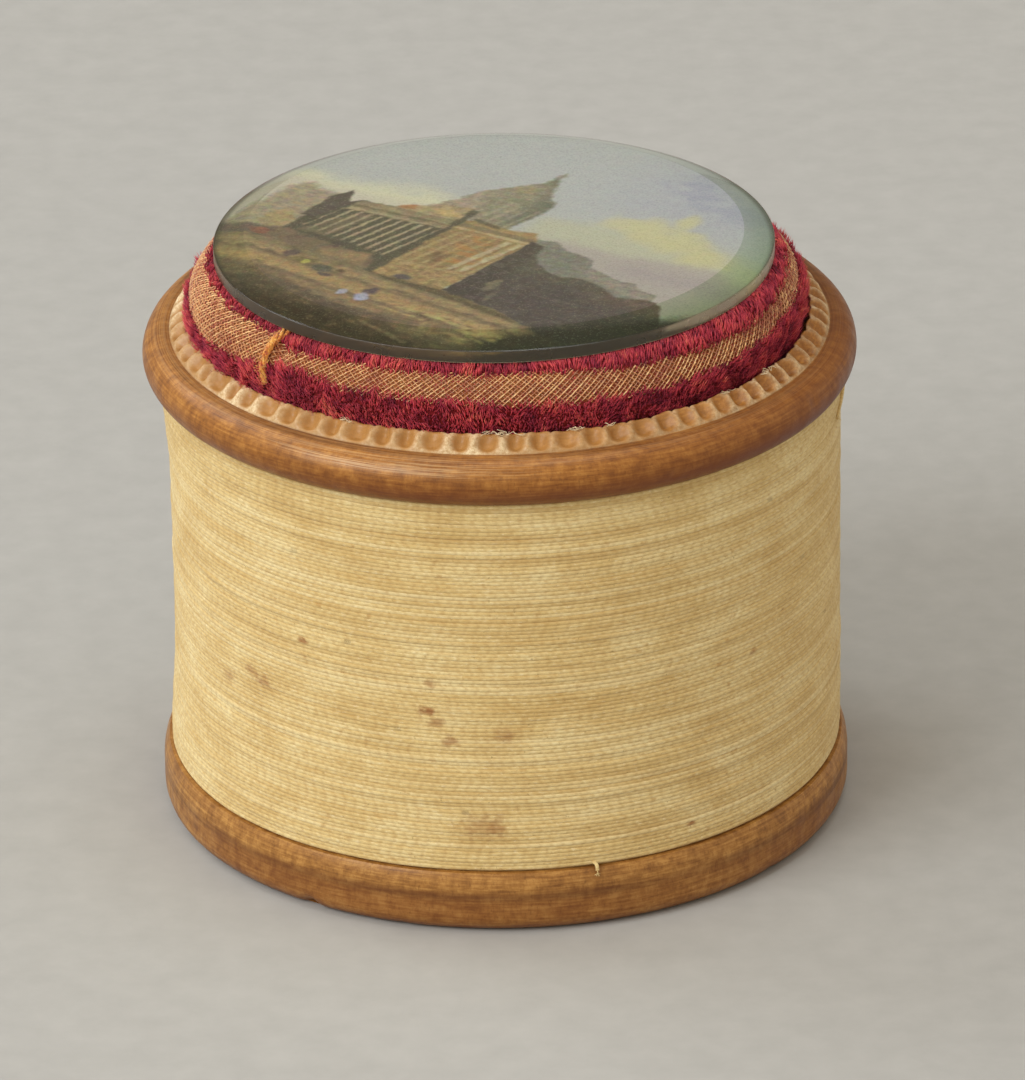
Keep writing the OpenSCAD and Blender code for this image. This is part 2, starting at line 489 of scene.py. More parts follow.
def sewing_thread():
    """Cream thread that has yellowed, with twisted plies. Painted shade darkens it towards the gaps between its
    turns, at the edges of each turn and in the grooves between plies.
    """
    s = Shader("aged_cream_thread", Sheen_Weight=0.15, Sheen_Roughness=0.5, Specular_IOR_Level=0.3)
    plies = s.wave(s.plus(s.value("ply"), s.times(s.value("around"), 2.2)))
    plies = s.stretch(plies, -1, 1)
    tone = s.noise(s.place(0.14, 0.14, 0.3), 1.0, 5.0, 0.65)
    colour = s.ramp(tone, (0.32, (207, 178, 116)), (0.5, (221, 196, 136)), (0.68, (231, 212, 158)))
    fibre = s.noise(s.place(0.7, 0.7, 2.4), 2.2, 5.0, 0.75)
    colour = s.tint(colour, (190, 150, 92), fibre, 0.34, 0.52, 0.5, 0)
    colour = s.tint(colour, (250, 238, 206), fibre, 0.56, 0.72, 0, 0.6)
    # Turns beside the gaps are browner as painted shade; other turns are brighter or darker at random.
    colour = s.tint(colour, (184, 148, 86), s.value("turn_tone_and_gap_shade"), 0.0, 1.4, 0, 0.4)
    colour = s.tint(colour, (244, 231, 186), s.value("turn_tone_and_gap_shade"), -0.1, -1.0, 0, 0.36)
    # Painted shade: each turn is darker towards its upper and lower edge, where it meets the next turn.
    colour = s.tint(colour, (176, 136, 76), s.value("around"), 0.4, 1.0, 0, 0.34)
    # Painted shade in the grooves between the plies.
    colour = s.tint(colour, (168, 124, 66), plies, 0.0, 0.4, 0.2, 0)
    foxing = s.stretch(s.noise(s.place(1, 1, 1.3), 0.9, 4.0, 0.6), 0.62, 0.72, 0, 0.45)
    colour = s.mix(foxing, colour, (176, 132, 72))
    specks = s.stretch(s.noise(s.place(), 2.6, 2.0, 0.5), 0.7, 0.76, 0, 0.55)
    colour = s.mix(specks, colour, (146, 114, 62))
    place = s.place(1, 1, 1.5)
    wobble = s.stretch(s.noise(place, 1.3, 3.0, 0.6), 0.3, 0.7, -1, 1)
    for angle, height, size, strength in THREAD_STAINS:
        around = math.radians(angle)
        reach = float(WINDING_R - hollow_side(around, height))
        centre = (reach * math.cos(around), reach * math.sin(around), 1.5 * height)
        distance = s.add("VectorMath", {0: place, 1: centre}, operation="DISTANCE").outputs["Value"]
        distance = s.plus(distance, s.times(wobble, size * 0.6))
        colour = s.mix(s.stretch(distance, size * 1.3, size * 0.3, 0, strength), colour, (146, 88, 42))
    relief = s.plus(s.times(plies, 0.7), fibre)
    return s.finish(colour, 0.75, s.bump(relief, 0.05, 0.7))


def under_layers():
    return mottled("thread_in_shadow", (0.5, 0.5, 2.0), (1.2, 3.0), (0.3, (146, 114, 66)),
                   (0.7, (190, 156, 102)), 0.9, 0.1)


def velvet_ground():
    """The backing of the velvet: a red cloth that shows between the gold threads."""
    s = Shader("velvet_backing", Sheen_Weight=0.3, Sheen_Roughness=0.4, Sheen_Tint=(214, 90, 84),
               Specular_IOR_Level=0.2)
    fine = s.noise(s.place(), 5.0, 4.0, 0.7)
    patches = s.noise(s.place(), 0.5, 3.0, 0.6)
    colour = s.ramp(fine, (0.32, (82, 15, 26)), (0.55, (138, 33, 40)), (0.72, (172, 62, 48)))
    colour = s.tint(colour, (130, 46, 38), patches, 0.4, 0.65, 0, 0.5)
    gold = s.ramp(fine, (0.34, (92, 52, 28)), (0.62, (158, 104, 48)))
    colour = s.mix(s.times(s.value("worn"), s.stretch(patches, 0.7, 0.35, 0.35, 0.9)), colour, gold)
    return s.finish(colour, 0.85, s.bump(fine, 0.12, 0.8))


def velvet_pile():
    """Crimson silk pile: painted shade makes it dark at its roots and near the wooden rim, brighter at its tips,
    each tuft a little different.
    """
    s = Shader("crimson_pile", Sheen_Weight=0.6, Sheen_Roughness=0.35, Sheen_Tint=(232, 110, 124),
               Specular_IOR_Level=0.35)
    colour = s.ramp(s.value("shade"), (0.0, (64, 10, 32)), (0.2, (140, 30, 62)), (0.5, (194, 58, 78)),
                    (0.78, (224, 82, 86)), (1.0, (236, 124, 102)))
    patches = s.noise(s.place(), 0.42, 3.0, 0.6)
    colour = s.tint(colour, (124, 30, 60), patches, 0.46, 0.68, 0, 0.42)
    # Painted shade: each tuft is darker towards its root, deep in the pile.
    colour = s.tint(colour, (64, 8, 22), s.value("along"), 0.5, 0.0, 0, 0.5)
    return s.finish(colour, 0.55)


def gold_weave(name, bright, dull):
    s = Shader(name, Sheen_Weight=0.3, Specular_IOR_Level=0.5)
    tone = s.noise(s.place(), 2.4, 3.0, 0.7)
    colour = s.ramp(tone, (0.34, dull), (0.6, bright))
    colour = s.tint(colour, (158, 58, 48), s.value("shade"), 0.3, 1.0, 0, 0.85)
    return s.finish(colour, 0.45, s.bump(s.noise(s.place(), 9.0, 2.0), 0.04))


def join_silk():
    s = Shader("gold_selvedge_silk", Sheen_Weight=0.4, Specular_IOR_Level=0.5)
    tone = s.noise(s.place(), 1.5, 4.0, 0.7)
    colour = s.ramp(tone, (0.36, (190, 92, 30)), (0.5, (222, 146, 48)), (0.62, (238, 192, 96)))
    return s.finish(colour, 0.5, s.bump(s.noise(s.place(3, 3, 1), 4.0, 3.0), 0.08))


def lint_fibre():
    return mottled("pale_lint", (), (2.0, 3.0), (0.35, (202, 180, 138)), (0.65, (240, 226, 192)), 0.8,
                   Sheen_Weight=0.3)


def wool():
    return mottled("wool_wadding", (1, 1, 2), (1.6, 6.0, 0.8, 1.5), (0.3, (150, 132, 104)),
                   (0.7, (226, 214, 188)), 0.95, 0.5, Sheen_Weight=0.5)


def card(name, dark, light):
    s = Shader(name, Specular_IOR_Level=0.25)
    pulp = s.noise(s.place(), 2.2, 6.0, 0.7)
    blots = s.noise(s.place(), 0.12, 3.0)
    colour = s.ramp(pulp, (0.35, dark), (0.65, light))
    colour = s.tint(colour, (140, 112, 72), blots, 0.5, 0.7, 0, 0.4)
    return s.finish(colour, 0.9, s.bump(pulp, 0.04))


def clear_glass():
    """Old plate glass with a faint green depth. Lamps shine through it onto the picture."""
    s = Shader("clear_green_glass", Transmission_Weight=1.0, IOR=1.52, Roughness=0.02)
    smears = s.noise(s.place(), 0.16, 4.0, 0.6)
    # Green tint at the edge: the glass's own colour, made stronger on one side as a painted reflection.
    tint = s.mix(s.value("rim"), (248, 252, 248), (152, 184, 134))
    tint = s.mix(s.value("ground"), tint, (138, 118, 90))
    s.finish(tint, s.plus(s.stretch(smears, 0.4, 0.75, 0.015, 0.06), s.times(s.value("ground"), 0.25)))
    lamps = s.add("LightPath").outputs["Is Shadow Ray"]
    let_through = s.add("BsdfTransparent", {"Color": (0.9, 0.92, 0.9, 1)})
    both = s.add("MixShader", {0: lamps})
    s.tree.links.new(s.surface.outputs[0], both.inputs[1])
    s.tree.links.new(let_through.outputs[0], both.inputs[2])
    s.tree.links.new(both.outputs[0], s.output.inputs["Surface"])
    return s.material


def picture_paint():
    """The picture's own colours with a printed grain."""
    s = Shader("painted_print", Specular_IOR_Level=0.3)
    painted = s.add("Attribute", attribute_name="paint").outputs["Color"]
    grain = s.noise(s.place(), 4.5, 4.0, 0.75)
    colour = s.mix(s.stretch(grain, 0.3, 0.5, 0.3, 0), painted, (40, 36, 30))
    colour = s.tint(colour, (226, 218, 180), grain, 0.55, 0.75, 0, 0.25)
    return s.finish(colour, 0.7)


def floor_paper():
    return mottled("pale_backdrop", (), (0.25, 6.0, 0.6), (0.3, (172, 172, 171)), (0.7, (179, 179, 178)), 0.9,
                   Specular_IOR_Level=0.2)


# ---------------------------------------------------------------- reel

def dented(radius, angle, height, dents):
    """Pushes a turned surface in. Each dent is (angle, height, width, depth)."""
    for place, level, width, depth in dents:
        across = turned(angle - math.radians(place)) * radius
        radius = radius - depth * np.exp(-(across**2 + (height - level) ** 2) / width**2)
    return radius


def lower_flange(material):
    inner, outer, relief = FOOT_RELIEF
    top_angle = math.degrees(math.asin((BASE_TOP - BASE_UPRIGHT) / BASE_CURVE_R))
    profile = np.concatenate([
        [(BARREL_R + BARREL_GAP, 0), (inner - FOOT_EDGE, 0)],
        arc(inner - FOOT_EDGE, FOOT_EDGE, FOOT_EDGE, -90, 0, 3),
        [(inner, relief), (outer, relief)],
        arc(outer + FOOT_EDGE, FOOT_EDGE, FOOT_EDGE, 180, 270, 3),
        [(BASE_R - FOOT_ROUND - 3, 0)],
        arc(BASE_R - FOOT_ROUND, FOOT_ROUND, FOOT_ROUND, -90, 0, 8),
        [(BASE_R, h) for h in np.linspace(FOOT_ROUND + 0.3, BASE_UPRIGHT - 0.25, 10)],
        arc(BASE_R - BASE_CURVE_R - 0.03, BASE_UPRIGHT - 0.1, BASE_CURVE_R, 4, top_angle, 10),
        [(WINDING_R - 1, BASE_TOP), (BARREL_R + BARREL_GAP, BASE_TOP)],
    ])
    radius, height, angle = revolved(profile, LATHE_STEPS)
    outside = profile[:, 0] > WINDING_R - 0.5
    wavy = 0.03 * noise_ring(angle, 9, 21) + 0.015 * noise_ring(angle, 60, 22)
    radius = np.where(outside, radius + wavy, radius)
    dents = [(-125, 0.3, 0.75, 0.8), (-108, 0.3, 0.5, 0.12), (-70, 2.2, 0.7, 0.07), (-40, 0.2, 0.6, 0.2),
             (20, 3.0, 0.8, 0.1), (75, 0.2, 0.9, 0.3), (130, 2.0, 0.6, 0.1), (190, 0.3, 0.5, 0.25)]
    radius = np.where(outside, dented(radius, angle, height, dents), radius)
    piece = make_piece("lower_flange", from_round(radius, angle, height), [grid_faces(*radius.shape)],
                       "reel", material, sharp=40)
    # Painted shade on the base: its upright side below the curve is darker, more so towards the floor, with some
    # random tone.
    below = smooth_step(BASE_UPRIGHT + 0.05, BASE_UPRIGHT - 0.15, height) * outside
    # Painted shade: a dark band in the crease just under the base's curve.
    painted_crease_shade = 0.3 * hill(height, BASE_UPRIGHT - 0.45, 0.45) * (1 + 0.6 * noise_ring(angle, 24, 23)) * outside
    set_values(piece, "painted_crease_shade", np.clip(painted_crease_shade, 0, 1))
    dark = 0.28 + 0.2 * noise_ring(angle, 13, 24) + 0.3 * smooth_step(1.2, 0.1, height)
    set_values(piece, "painted_shade", below * dark)
    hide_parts("base_flange")


def upper_flange(material):
    """The bead, and over it a moulding of gouged scallops round the seat."""
    bead_r, bead_z = FLANGE_R - BEAD_R, FLANGE_LOW + BEAD_R
    crease_z = bead_z + BEAD_R
    moulding = spaced(spline([
        (bead_r - 0.22, crease_z - 0.02), (bead_r - 0.42, crease_z + 0.5), (bead_r - 0.95, crease_z + 1.05),
        (bead_r - 1.6, RIM_TOP - 0.08), (SEAT_R + 0.2, RIM_TOP),
    ], 8), 18)
    parts = [
        np.array([(BARREL_R + BARREL_GAP, FLANGE_LOW), (WINDING_R - 3, FLANGE_LOW)]),
        arc(bead_r, bead_z, BEAD_R, -90, 84, 30),
        np.array([(bead_r + 0.04, crease_z - 0.08), (bead_r - 0.12, crease_z - 0.08)]),
        moulding,
        arc(SEAT_R + 0.14, RIM_TOP - 0.14, 0.14, 90, 180, 3),
        np.array([(SEAT_R, RIM_TOP - 1.2), (SEAT_R, SEAT_FLOOR + 0.2), (SEAT_R - 0.2, SEAT_FLOOR),
                  (BARREL_R + 2, SEAT_FLOOR), (BARREL_R + BARREL_GAP, SEAT_FLOOR)]),
    ]
    profile = np.concatenate(parts)
    # How far up the moulding each row is. The rows of the lip's arc are carved as well
    before, after = (sum(map(len, rows)) for rows in (parts[:3], parts[5:]))
    carved = np.concatenate([np.zeros(before), np.ones(len(moulding) + len(parts[4])), np.zeros(after)])
    share = carved.copy()
    share[before:before + len(moulding)] = np.linspace(0, 1, len(moulding))

    radius, height, angle = revolved(profile, GOUGES * GOUGE_STEPS)
    degrees = (np.degrees(angle) + 180) % 360 - 180
    closer = 1.6 * smooth_step(-72, -12, degrees) * (1 - smooth_step(20, 160, degrees))
    place = angle / (2 * math.pi) * GOUGES + closer + 0.16 * noise_ring(angle, GOUGES, 31)
    part = place % 1
    size = 1 + 0.3 * noise_ring(angle, GOUGES, 32)
    ridge = (2 * np.abs(part - 0.5)) ** 1.6
    hollow = (0.5 + 0.5 * np.cos(2 * math.pi * (part - 0.5))) ** 0.8 * size
    fade = smooth_step(0.0, 0.42, share) * (1 - 0.45 * smooth_step(0.6, 1.0, share))
    cut = 0.82 * hollow * fade * carved
    radius = radius - 0.62 * cut
    height = height - 0.78 * cut
    lip = smooth_step(0.7, 1.0, share) * carved
    height = height - lip * (0.34 * ridge**2 + 0.12 * noise_ring(angle, 110, 33) - 0.05)
    bead = (profile[:, 0] > WINDING_R - 1) & (carved == 0)
    wavy = 0.03 * noise_ring(angle, 7, 34) + 0.012 * noise_ring(angle, 70, 35)
    radius = np.where(bead, radius + wavy, radius)
    dents = [(-62, 47.2, 0.5, 0.1), (-118, 46.8, 0.7, 0.08), (-84, 48.4, 0.3, 0.12), (-30, 48.6, 0.7, 0.1),
             (35, 47.6, 0.8, 0.12), (110, 48.0, 0.6, 0.15), (165, 47.0, 0.7, 0.1)]
    radius = np.where(bead, dented(radius, angle, height, dents), radius)
    height = np.clip(height, FLANGE_LOW, RIM_TOP)
    piece = make_piece("upper_flange", from_round(radius, angle, height), [grid_faces(*radius.shape)],
                       "reel", material, sharp=50)
    # Painted shade: a dark line in the crease between the bead and the moulding.
    crease_shade = hill(height, crease_z - 0.08, 0.07) * (profile[:, 0] > SEAT_R + 1)
    set_values(piece, "painted_crease_shade", np.clip(crease_shade * (0.35 + 0.3 * noise_ring(angle, 30, 36)), 0, 1))
    # Pale dust in the grooves, also used as painted highlight along the ridges and the lip. The paler carved tone
    # and this dust both fade on the right side, as painted shade.
    patchy = np.clip(0.7 + 0.8 * noise_ring(angle, 23, 37), 0.3, 1)
    bare = smooth_step(0.5, 0.24, np.hypot(part - 0.55, 0.62 * (share - 0.6)))
    dust = carved * (1 - bare) * patchy
    shaded = smooth_step(-95, -30, degrees) * (degrees < 90)
    set_values(piece, "dust", np.clip(dust * (1 - 0.2 * shaded), 0, 1))
    set_values(piece, "carved", carved * (1 - 0.75 * shaded))
    # Painted highlight, stored as "worn": pale streaks on the bead's upper front near -108 degrees and a faint
    # line along the crease top.
    painted_highlight = bead * hill(height, bead_z + 1.55, 0.5) * hill(degrees, -108, 17)
    set_values(piece, "worn", np.clip(painted_highlight + 0.3 * bead * hill(height, crease_z, 0.5), 0, 0.6))
    # Painted shade on the bead: darker over its lower half and on its right side, away from the lamps, with some
    # random tone.
    painted_shade = bead * (smooth_step(bead_z + 1.2, bead_z - 1.4, height) * (0.6 + 0.25 * noise_ring(angle, 17, 38))
                     + 0.55 * np.maximum(np.cos(angle), 0))
    set_values(piece, "painted_shade", np.clip(painted_shade, 0, 1))
    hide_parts("top_flange")


# Gaps between turns: height, width, and the angle where each is widest
THREAD_GAPS = [(44.6, 0.1, -95), (41.6, 0.13, -105), (39.5, 0.09, -90), (33.0, 0.04, -70), (15.0, 0.04, -120),
               (28.0, 0.06, 60), (18.5, 0.08, 140), (42.5, 0.1, 30), (9.5, 0.05, -60)]


def hollow_side(angle, height):
    """How far the winding lies in from its full radius. It is slightly hollow at its left side."""
    level = (height - BASE_TOP) / (FLANGE_LOW - BASE_TOP)
    waist = smooth_step(0.0, 0.3, level) * smooth_step(1.0, 0.75, level)
    return (0.12 + 0.6 * waist) * hill(turned(angle - math.pi), 0, 0.75)


def top_layer(material):
    """The outer layer of thread: one long helix of real turns, cut into bands of turns to keep each mesh small."""
    count = THREAD_TURNS * TURN_STEPS + 1
    turn = np.arange(count) / TURN_STEPS
    angle = 2 * math.pi * turn
    low, high = BASE_TOP + 0.05, FLANGE_LOW - 0.05
    height = low + (high - low) * turn / THREAD_TURNS
    # Painted shade: the turns beside each gap are darkened. The gaps themselves open by moving the turns apart.
    gap_shade = 0
    for level, width, middle in THREAD_GAPS:
        away = turned(angle - math.radians(middle))
        spread = 0.3 + 0.7 * hill(away, 0, 0.8)
        gap_shade = gap_shade + min(1, width / 0.08) * hill(height, level, 0.3) * spread
        near = np.exp(-np.abs(height - level) / 1.3) * (0.35 + 0.65 * hill(away, 0, 0.9))
        height = height + width / 2 * np.sign(height - level) * near
    height = height + 0.028 * noise_line(turn, 0.9, 41) + 0.012 * noise_line(turn, 0.06, 42)
    radius = WINDING_R - THREAD_D / 2 + 0.06 * noise_line(turn, 1.1, 43) + 0.02 * noise_line(turn, 0.05, 44)
    radius = radius - hollow_side(angle, height)
    slub = 1 + 0.09 * noise_line(turn, 0.02, 45) + 0.3 * smooth_step(0.86, 1.0, noise_line(turn, 0.035, 46))
    ply = angle * WINDING_R * 2 * math.pi / PLY_PITCH + 3 * noise_line(turn, 0.17, 47)
    section = np.radians([-108, -64, -22, 22, 64, 108])
    points = from_round(
        radius[:, None] + 0.5 * THREAD_D * slub[:, None] * np.cos(section),
        angle[:, None] + 0 * section,
        height[:, None] + 0.7 * THREAD_D * slub[:, None] * np.sin(section),
    )
    # Random tone for each turn, plus painted shade beside the gaps.
    tone = 0.6 * noise_line(turn, 0.7, 48) + 0.6 * noise_line(turn, 0.23, 49) + 1.5 * gap_shade
    around = np.sin(section) * np.abs(np.sin(section))
    per_band = math.ceil(THREAD_TURNS / THREAD_BANDS) * TURN_STEPS
    for band in range(THREAD_BANDS):
        start, stop = band * per_band, min((band + 1) * per_band + 1, count)
        own = points[start:stop]
        rows, columns = own.shape[:2]
        caps = [np.arange(columns)[None, :], (rows - 1) * columns + np.arange(columns)[None, ::-1]]
        piece = make_piece(f"thread_turns_{band + 1}", own, [grid_faces(rows, columns, close_rows=False), *caps],
                           "reel", material)
        set_values(piece, "ply", np.repeat(ply[start:stop, None], columns, 1) % (1000 * 2 * math.pi))
        # "around" marks the edges of each turn, which the material darkens as painted shade.
        set_values(piece, "around", np.abs(np.repeat(around[None, :], rows, 0)))
        set_values(piece, "turn_tone_and_gap_shade", np.repeat(tone[start:stop, None], columns, 1))
        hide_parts("thread_winding")


def thread_core(material):
    """The layers below, which show only between the turns of the top one."""
    ridge_r = WINDING_R - THREAD_D * 0.62
    low, inner = BASE_TOP + 0.02, BARREL_R + 0.03
    steps = 4 * THREAD_TURNS
    rise = FLANGE_LOW - BASE_TOP - 0.04
    ridges = [(ridge_r - 0.05 * (k % 2), low + rise * k / steps) for k in range(steps + 1)]
    profile = np.array([(inner, low), *ridges, (inner, FLANGE_LOW - 0.02)])
    radius, height, angle = revolved(profile, 180)
    radius = np.where(radius > BARREL_R + 1, radius - hollow_side(angle, height), radius)
    piece = make_piece("thread_under_layers", from_round(radius, angle, height), [grid_faces(*radius.shape)],
                       "reel", material)
    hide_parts("thread_winding")


def loose_thread(name, places, material):
    """A loose end of the same thread, frayed at its last place. Each is (angle, radius, height)."""
    angle, radius, height = np.array(places, float).T
    line = spaced(spline(from_round(radius, np.radians(angle), height), 8), 40)
    rng = np.random.default_rng(len(name))
    parts = [tube(line, THREAD_D * 0.46, 8)]
    end, forward = line[-1], unit(line[-1] - line[-3])
    for _ in range(7):
        spread = unit(forward + 0.5 * rng.normal(size=3))
        parts.append(tube(spline([end - 0.1 * forward, end + 0.25 * forward, end + 0.6 * spread], 4), 0.035, 4))
    points, quads, triangles = joined(parts)
    piece = make_piece(name, points, [quads, triangles], "reel", material)
    distance = points @ forward
    for values, scale in (("ply", 10), ("around", 0), ("turn_tone_and_gap_shade", 0)):
        set_values(piece, values, scale * distance)


def loose_ends(material):
    loose_thread("lower_thread_end", [
        (-75.5, 33.2, 6.75), (-75.3, 33.55, 6.75), (-75.2, 33.85, 6.6), (-75.2, 34.0, 6.2)], material)
    loose_thread("upper_thread_end", [
        (-3, 33.35, 45.3), (-1, 33.6, 44.8), (-1, 33.74, 44.1), (-2.5, 33.66, 43.4), (-6, 33.55, 42.7),
        (-11, 33.45, 42.1)], material)


# ---------------------------------------------------------------- cushion

# The cushion's outer section from its hem under the card, out, up and over to its hem under the glass
CUSHION_LINE = spaced(spline([
    (HEM_R + 0.2, CUSHION_LOW), (25.5, CUSHION_LOW), (27.7, 48.45), (29.0, 49.1), (29.5, 50.3), (29.7, 51.6),
    (29.8, 52.8), (29.7, 54.0), (29.3, 55.0), (28.7, 55.85), (28.0, 56.45), (27.2, 56.8), (26.4, 56.95),
    (25.4, 57.0),
], 12), 97)
CUSHION_LENGTHS = np.concatenate([[0], np.cumsum(np.linalg.norm(np.diff(CUSHION_LINE, axis=0), axis=1))])
PINCH_ANGLE = math.radians(JOIN_ANGLE + 2.4)


def length_at(height):
    """Distance along the cushion's section, from its lower hem, where its side has a height."""
    side = CUSHION_LINE[:, 1] > CUSHION_LOW + 0.05
    return np.interp(height, CUSHION_LINE[side, 1], CUSHION_LENGTHS[side])


def cushion_surface(angle, length):
    """Points on the velvet, and the outward direction there, by angle and distance along the section."""
    radius = np.interp(length, CUSHION_LENGTHS, CUSHION_LINE[:, 0])
    height = np.interp(length, CUSHION_LENGTHS, CUSHION_LINE[:, 1])
    slope = np.gradient(CUSHION_LINE, CUSHION_LENGTHS, axis=0)
    rise_r = np.interp(length, CUSHION_LENGTHS, slope[:, 0])
    rise_z = np.interp(length, CUSHION_LENGTHS, slope[:, 1])
    outward = unit(from_round(rise_z, angle, -rise_r))
    on_side = smooth_step(49.5, 52.5, height)
    bulge = on_side * (0.1 * noise_ring(angle, 11, 51) + 0.05 * noise_ring(angle, 37, 52))
    pinch = turned(angle - PINCH_ANGLE) * radius
    bulge = bulge - 0.75 * on_side * np.exp(-(pinch / 0.95) ** 2)
    gathers = (1 - smooth_step(26.0, 28.5, radius)) * (height < 50)
    bulge = bulge + gathers * 0.22 * np.sin(angle * HEM_GATHERS + 1.5 * noise_ring(angle, 20, 53))
    return from_round(radius, angle, height) + outward * np.asarray(bulge)[..., None], outward


def velvet_cloth(material):
    angle, length = np.meshgrid(
        np.linspace(0, 2 * math.pi, 540, endpoint=False), np.linspace(0, CUSHION_LENGTHS[-1], 90), indexing="ij")
    outer, outward = cushion_surface(angle, length)
    inner = outer - VELVET_T * outward
    points = np.concatenate([outer, inner[:, ::-1]], 1)
    piece = make_piece("velvet_cloth", points, [grid_faces(*points.shape[:2])],
                       "cushion_top", material)
    low, high = worn_band(angle)
    worn = smooth_step(low - 0.1, low + 0.5, length) * (1 - smooth_step(high - 0.5, high + 0.1, length))
    set_values(piece, "worn", np.concatenate([worn, 0 * worn], 1))
    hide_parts("velvet_cover")


# Heights of the worn band's lower and upper edge on the velvet, by angle
WORN_ANGLES = [-185, -160, -148, -138, -133, -120, -100, -80, -60, -45, -30, -20, 10, 60, 110, 150, 175]
WORN_LOW = [53.0, 52.8, 53.4, 54.0, 54.7, 54.3, 54.1, 53.9, 53.4, 53.6, 53.8, 54.2, 54.4, 53.8, 53.6, 53.2, 53.0]
WORN_HIGH = [56.6, 56.65, 56.7, 56.7, 56.2, 56.5, 56.55, 56.5, 56.1, 55.9, 55.9, 56.1, 56.4, 56.5, 56.5, 56.5,
             56.6]


def worn_band(angle):
    """Distances along the section between which the pile has worn away."""
    degrees = (np.degrees(angle) + 185) % 360 - 185
    ragged = 0.16 * noise_ring(angle, 90, 61) + 0.1 * noise_ring(angle, 300, 62)
    low = length_at(np.interp(degrees, WORN_ANGLES, WORN_LOW)) + ragged
    high = length_at(np.interp(degrees, WORN_ANGLES, WORN_HIGH)) - 0.8 * ragged
    return low, high


RIM_LENGTH = length_at(49.6)
BAND_LENGTH = length_at(54.5)


def velvet_tufts(name, density, low_length, high_length, material, seed, worn=False, sectors=1):
    """Pile on the velvet between two distances along its section, except where it has worn away.

    Where worn is set it is the opposite: only the short stubs in the worn band."""
    rng = np.random.default_rng(seed)
    count = int(2 * math.pi * SIDE_R * (high_length - low_length) * density)
    angle = np.sort(rng.uniform(-math.pi, math.pi, count))
    length = rng.uniform(low_length, high_length, count)
    low, high = worn_band(angle)
    inside = smooth_step(low - 0.25, low + 0.75, length) * (1 - smooth_step(high - 0.75, high + 0.25, length))
    chance = (0.75 - 0.6 * inside) * (inside > 0.05) if worn else 1 - inside
    keep = rng.uniform(size=count) < chance
    angle, length, inside = angle[keep], length[keep], inside[keep]
    count = len(angle)
    roots, outward = cushion_surface(angle, length)
    across = from_round(0 * angle + 1, angle + math.pi / 2, 0 * angle)
    down = np.cross(outward, across)
    round_side = angle * SIDE_R
    sideways = 0.6 * noise_plane(round_side, length, 1.3, seed + 1) + 0.09 * rng.normal(size=count)
    drop = 1.05 + 0.4 * noise_plane(round_side, length, 1.7, seed + 2) + 0.1 * rng.normal(size=count)
    lean = across * sideways[:, None] + down * drop[:, None]
    clumps = noise_plane(round_side, length, 1.2, seed + 4)
    height = STUB_HEIGHT if worn else PILE_HEIGHT * (0.82 + 0.3 * clumps) * (1 - 0.4 * inside)
    tall = rng.uniform(0.6, 1.0, count) * height
    thick = rng.uniform(0.05, 0.09, count)
    points, quads, triangles = tufts(roots - 0.05 * outward, outward, lean, tall, thick, rng)
    points[:, 2] = np.minimum(points[:, 2], GLASS_LOW - 0.04)
    mottle = 0.2 * noise_plane(round_side, length, 1.1, seed + 3)
    # Tone of each tuft: random, and darker where its clump is low, as painted shade between clumps.
    shade = 0.5 + 0.22 * clumps + mottle + 0.16 * rng.normal(size=count)
    # Painted shadow: tufts close to the wooden rim are darkened.
    shade = shade - 0.75 * smooth_step(RIM_LENGTH + 1.9, RIM_LENGTH + 0.4, length)
    along = np.tile([0, 0, 0, 0.5, 0.5, 0.5, 1], count)
    for sector in range(sectors):
        first, last = count * sector // sectors, count * (sector + 1) // sectors
        own = slice(7 * first, 7 * last)
        faces = [quads[3 * first:3 * last] - 7 * first, triangles[4 * first:4 * last] - 7 * first]
        piece = make_piece(f"{name}_{sector + 1}", points[own], faces, "cushion_top", material)
        set_values(piece, "along", along[own])
        set_values(piece, "shade", np.repeat(np.clip(shade, 0, 1), 7)[own])


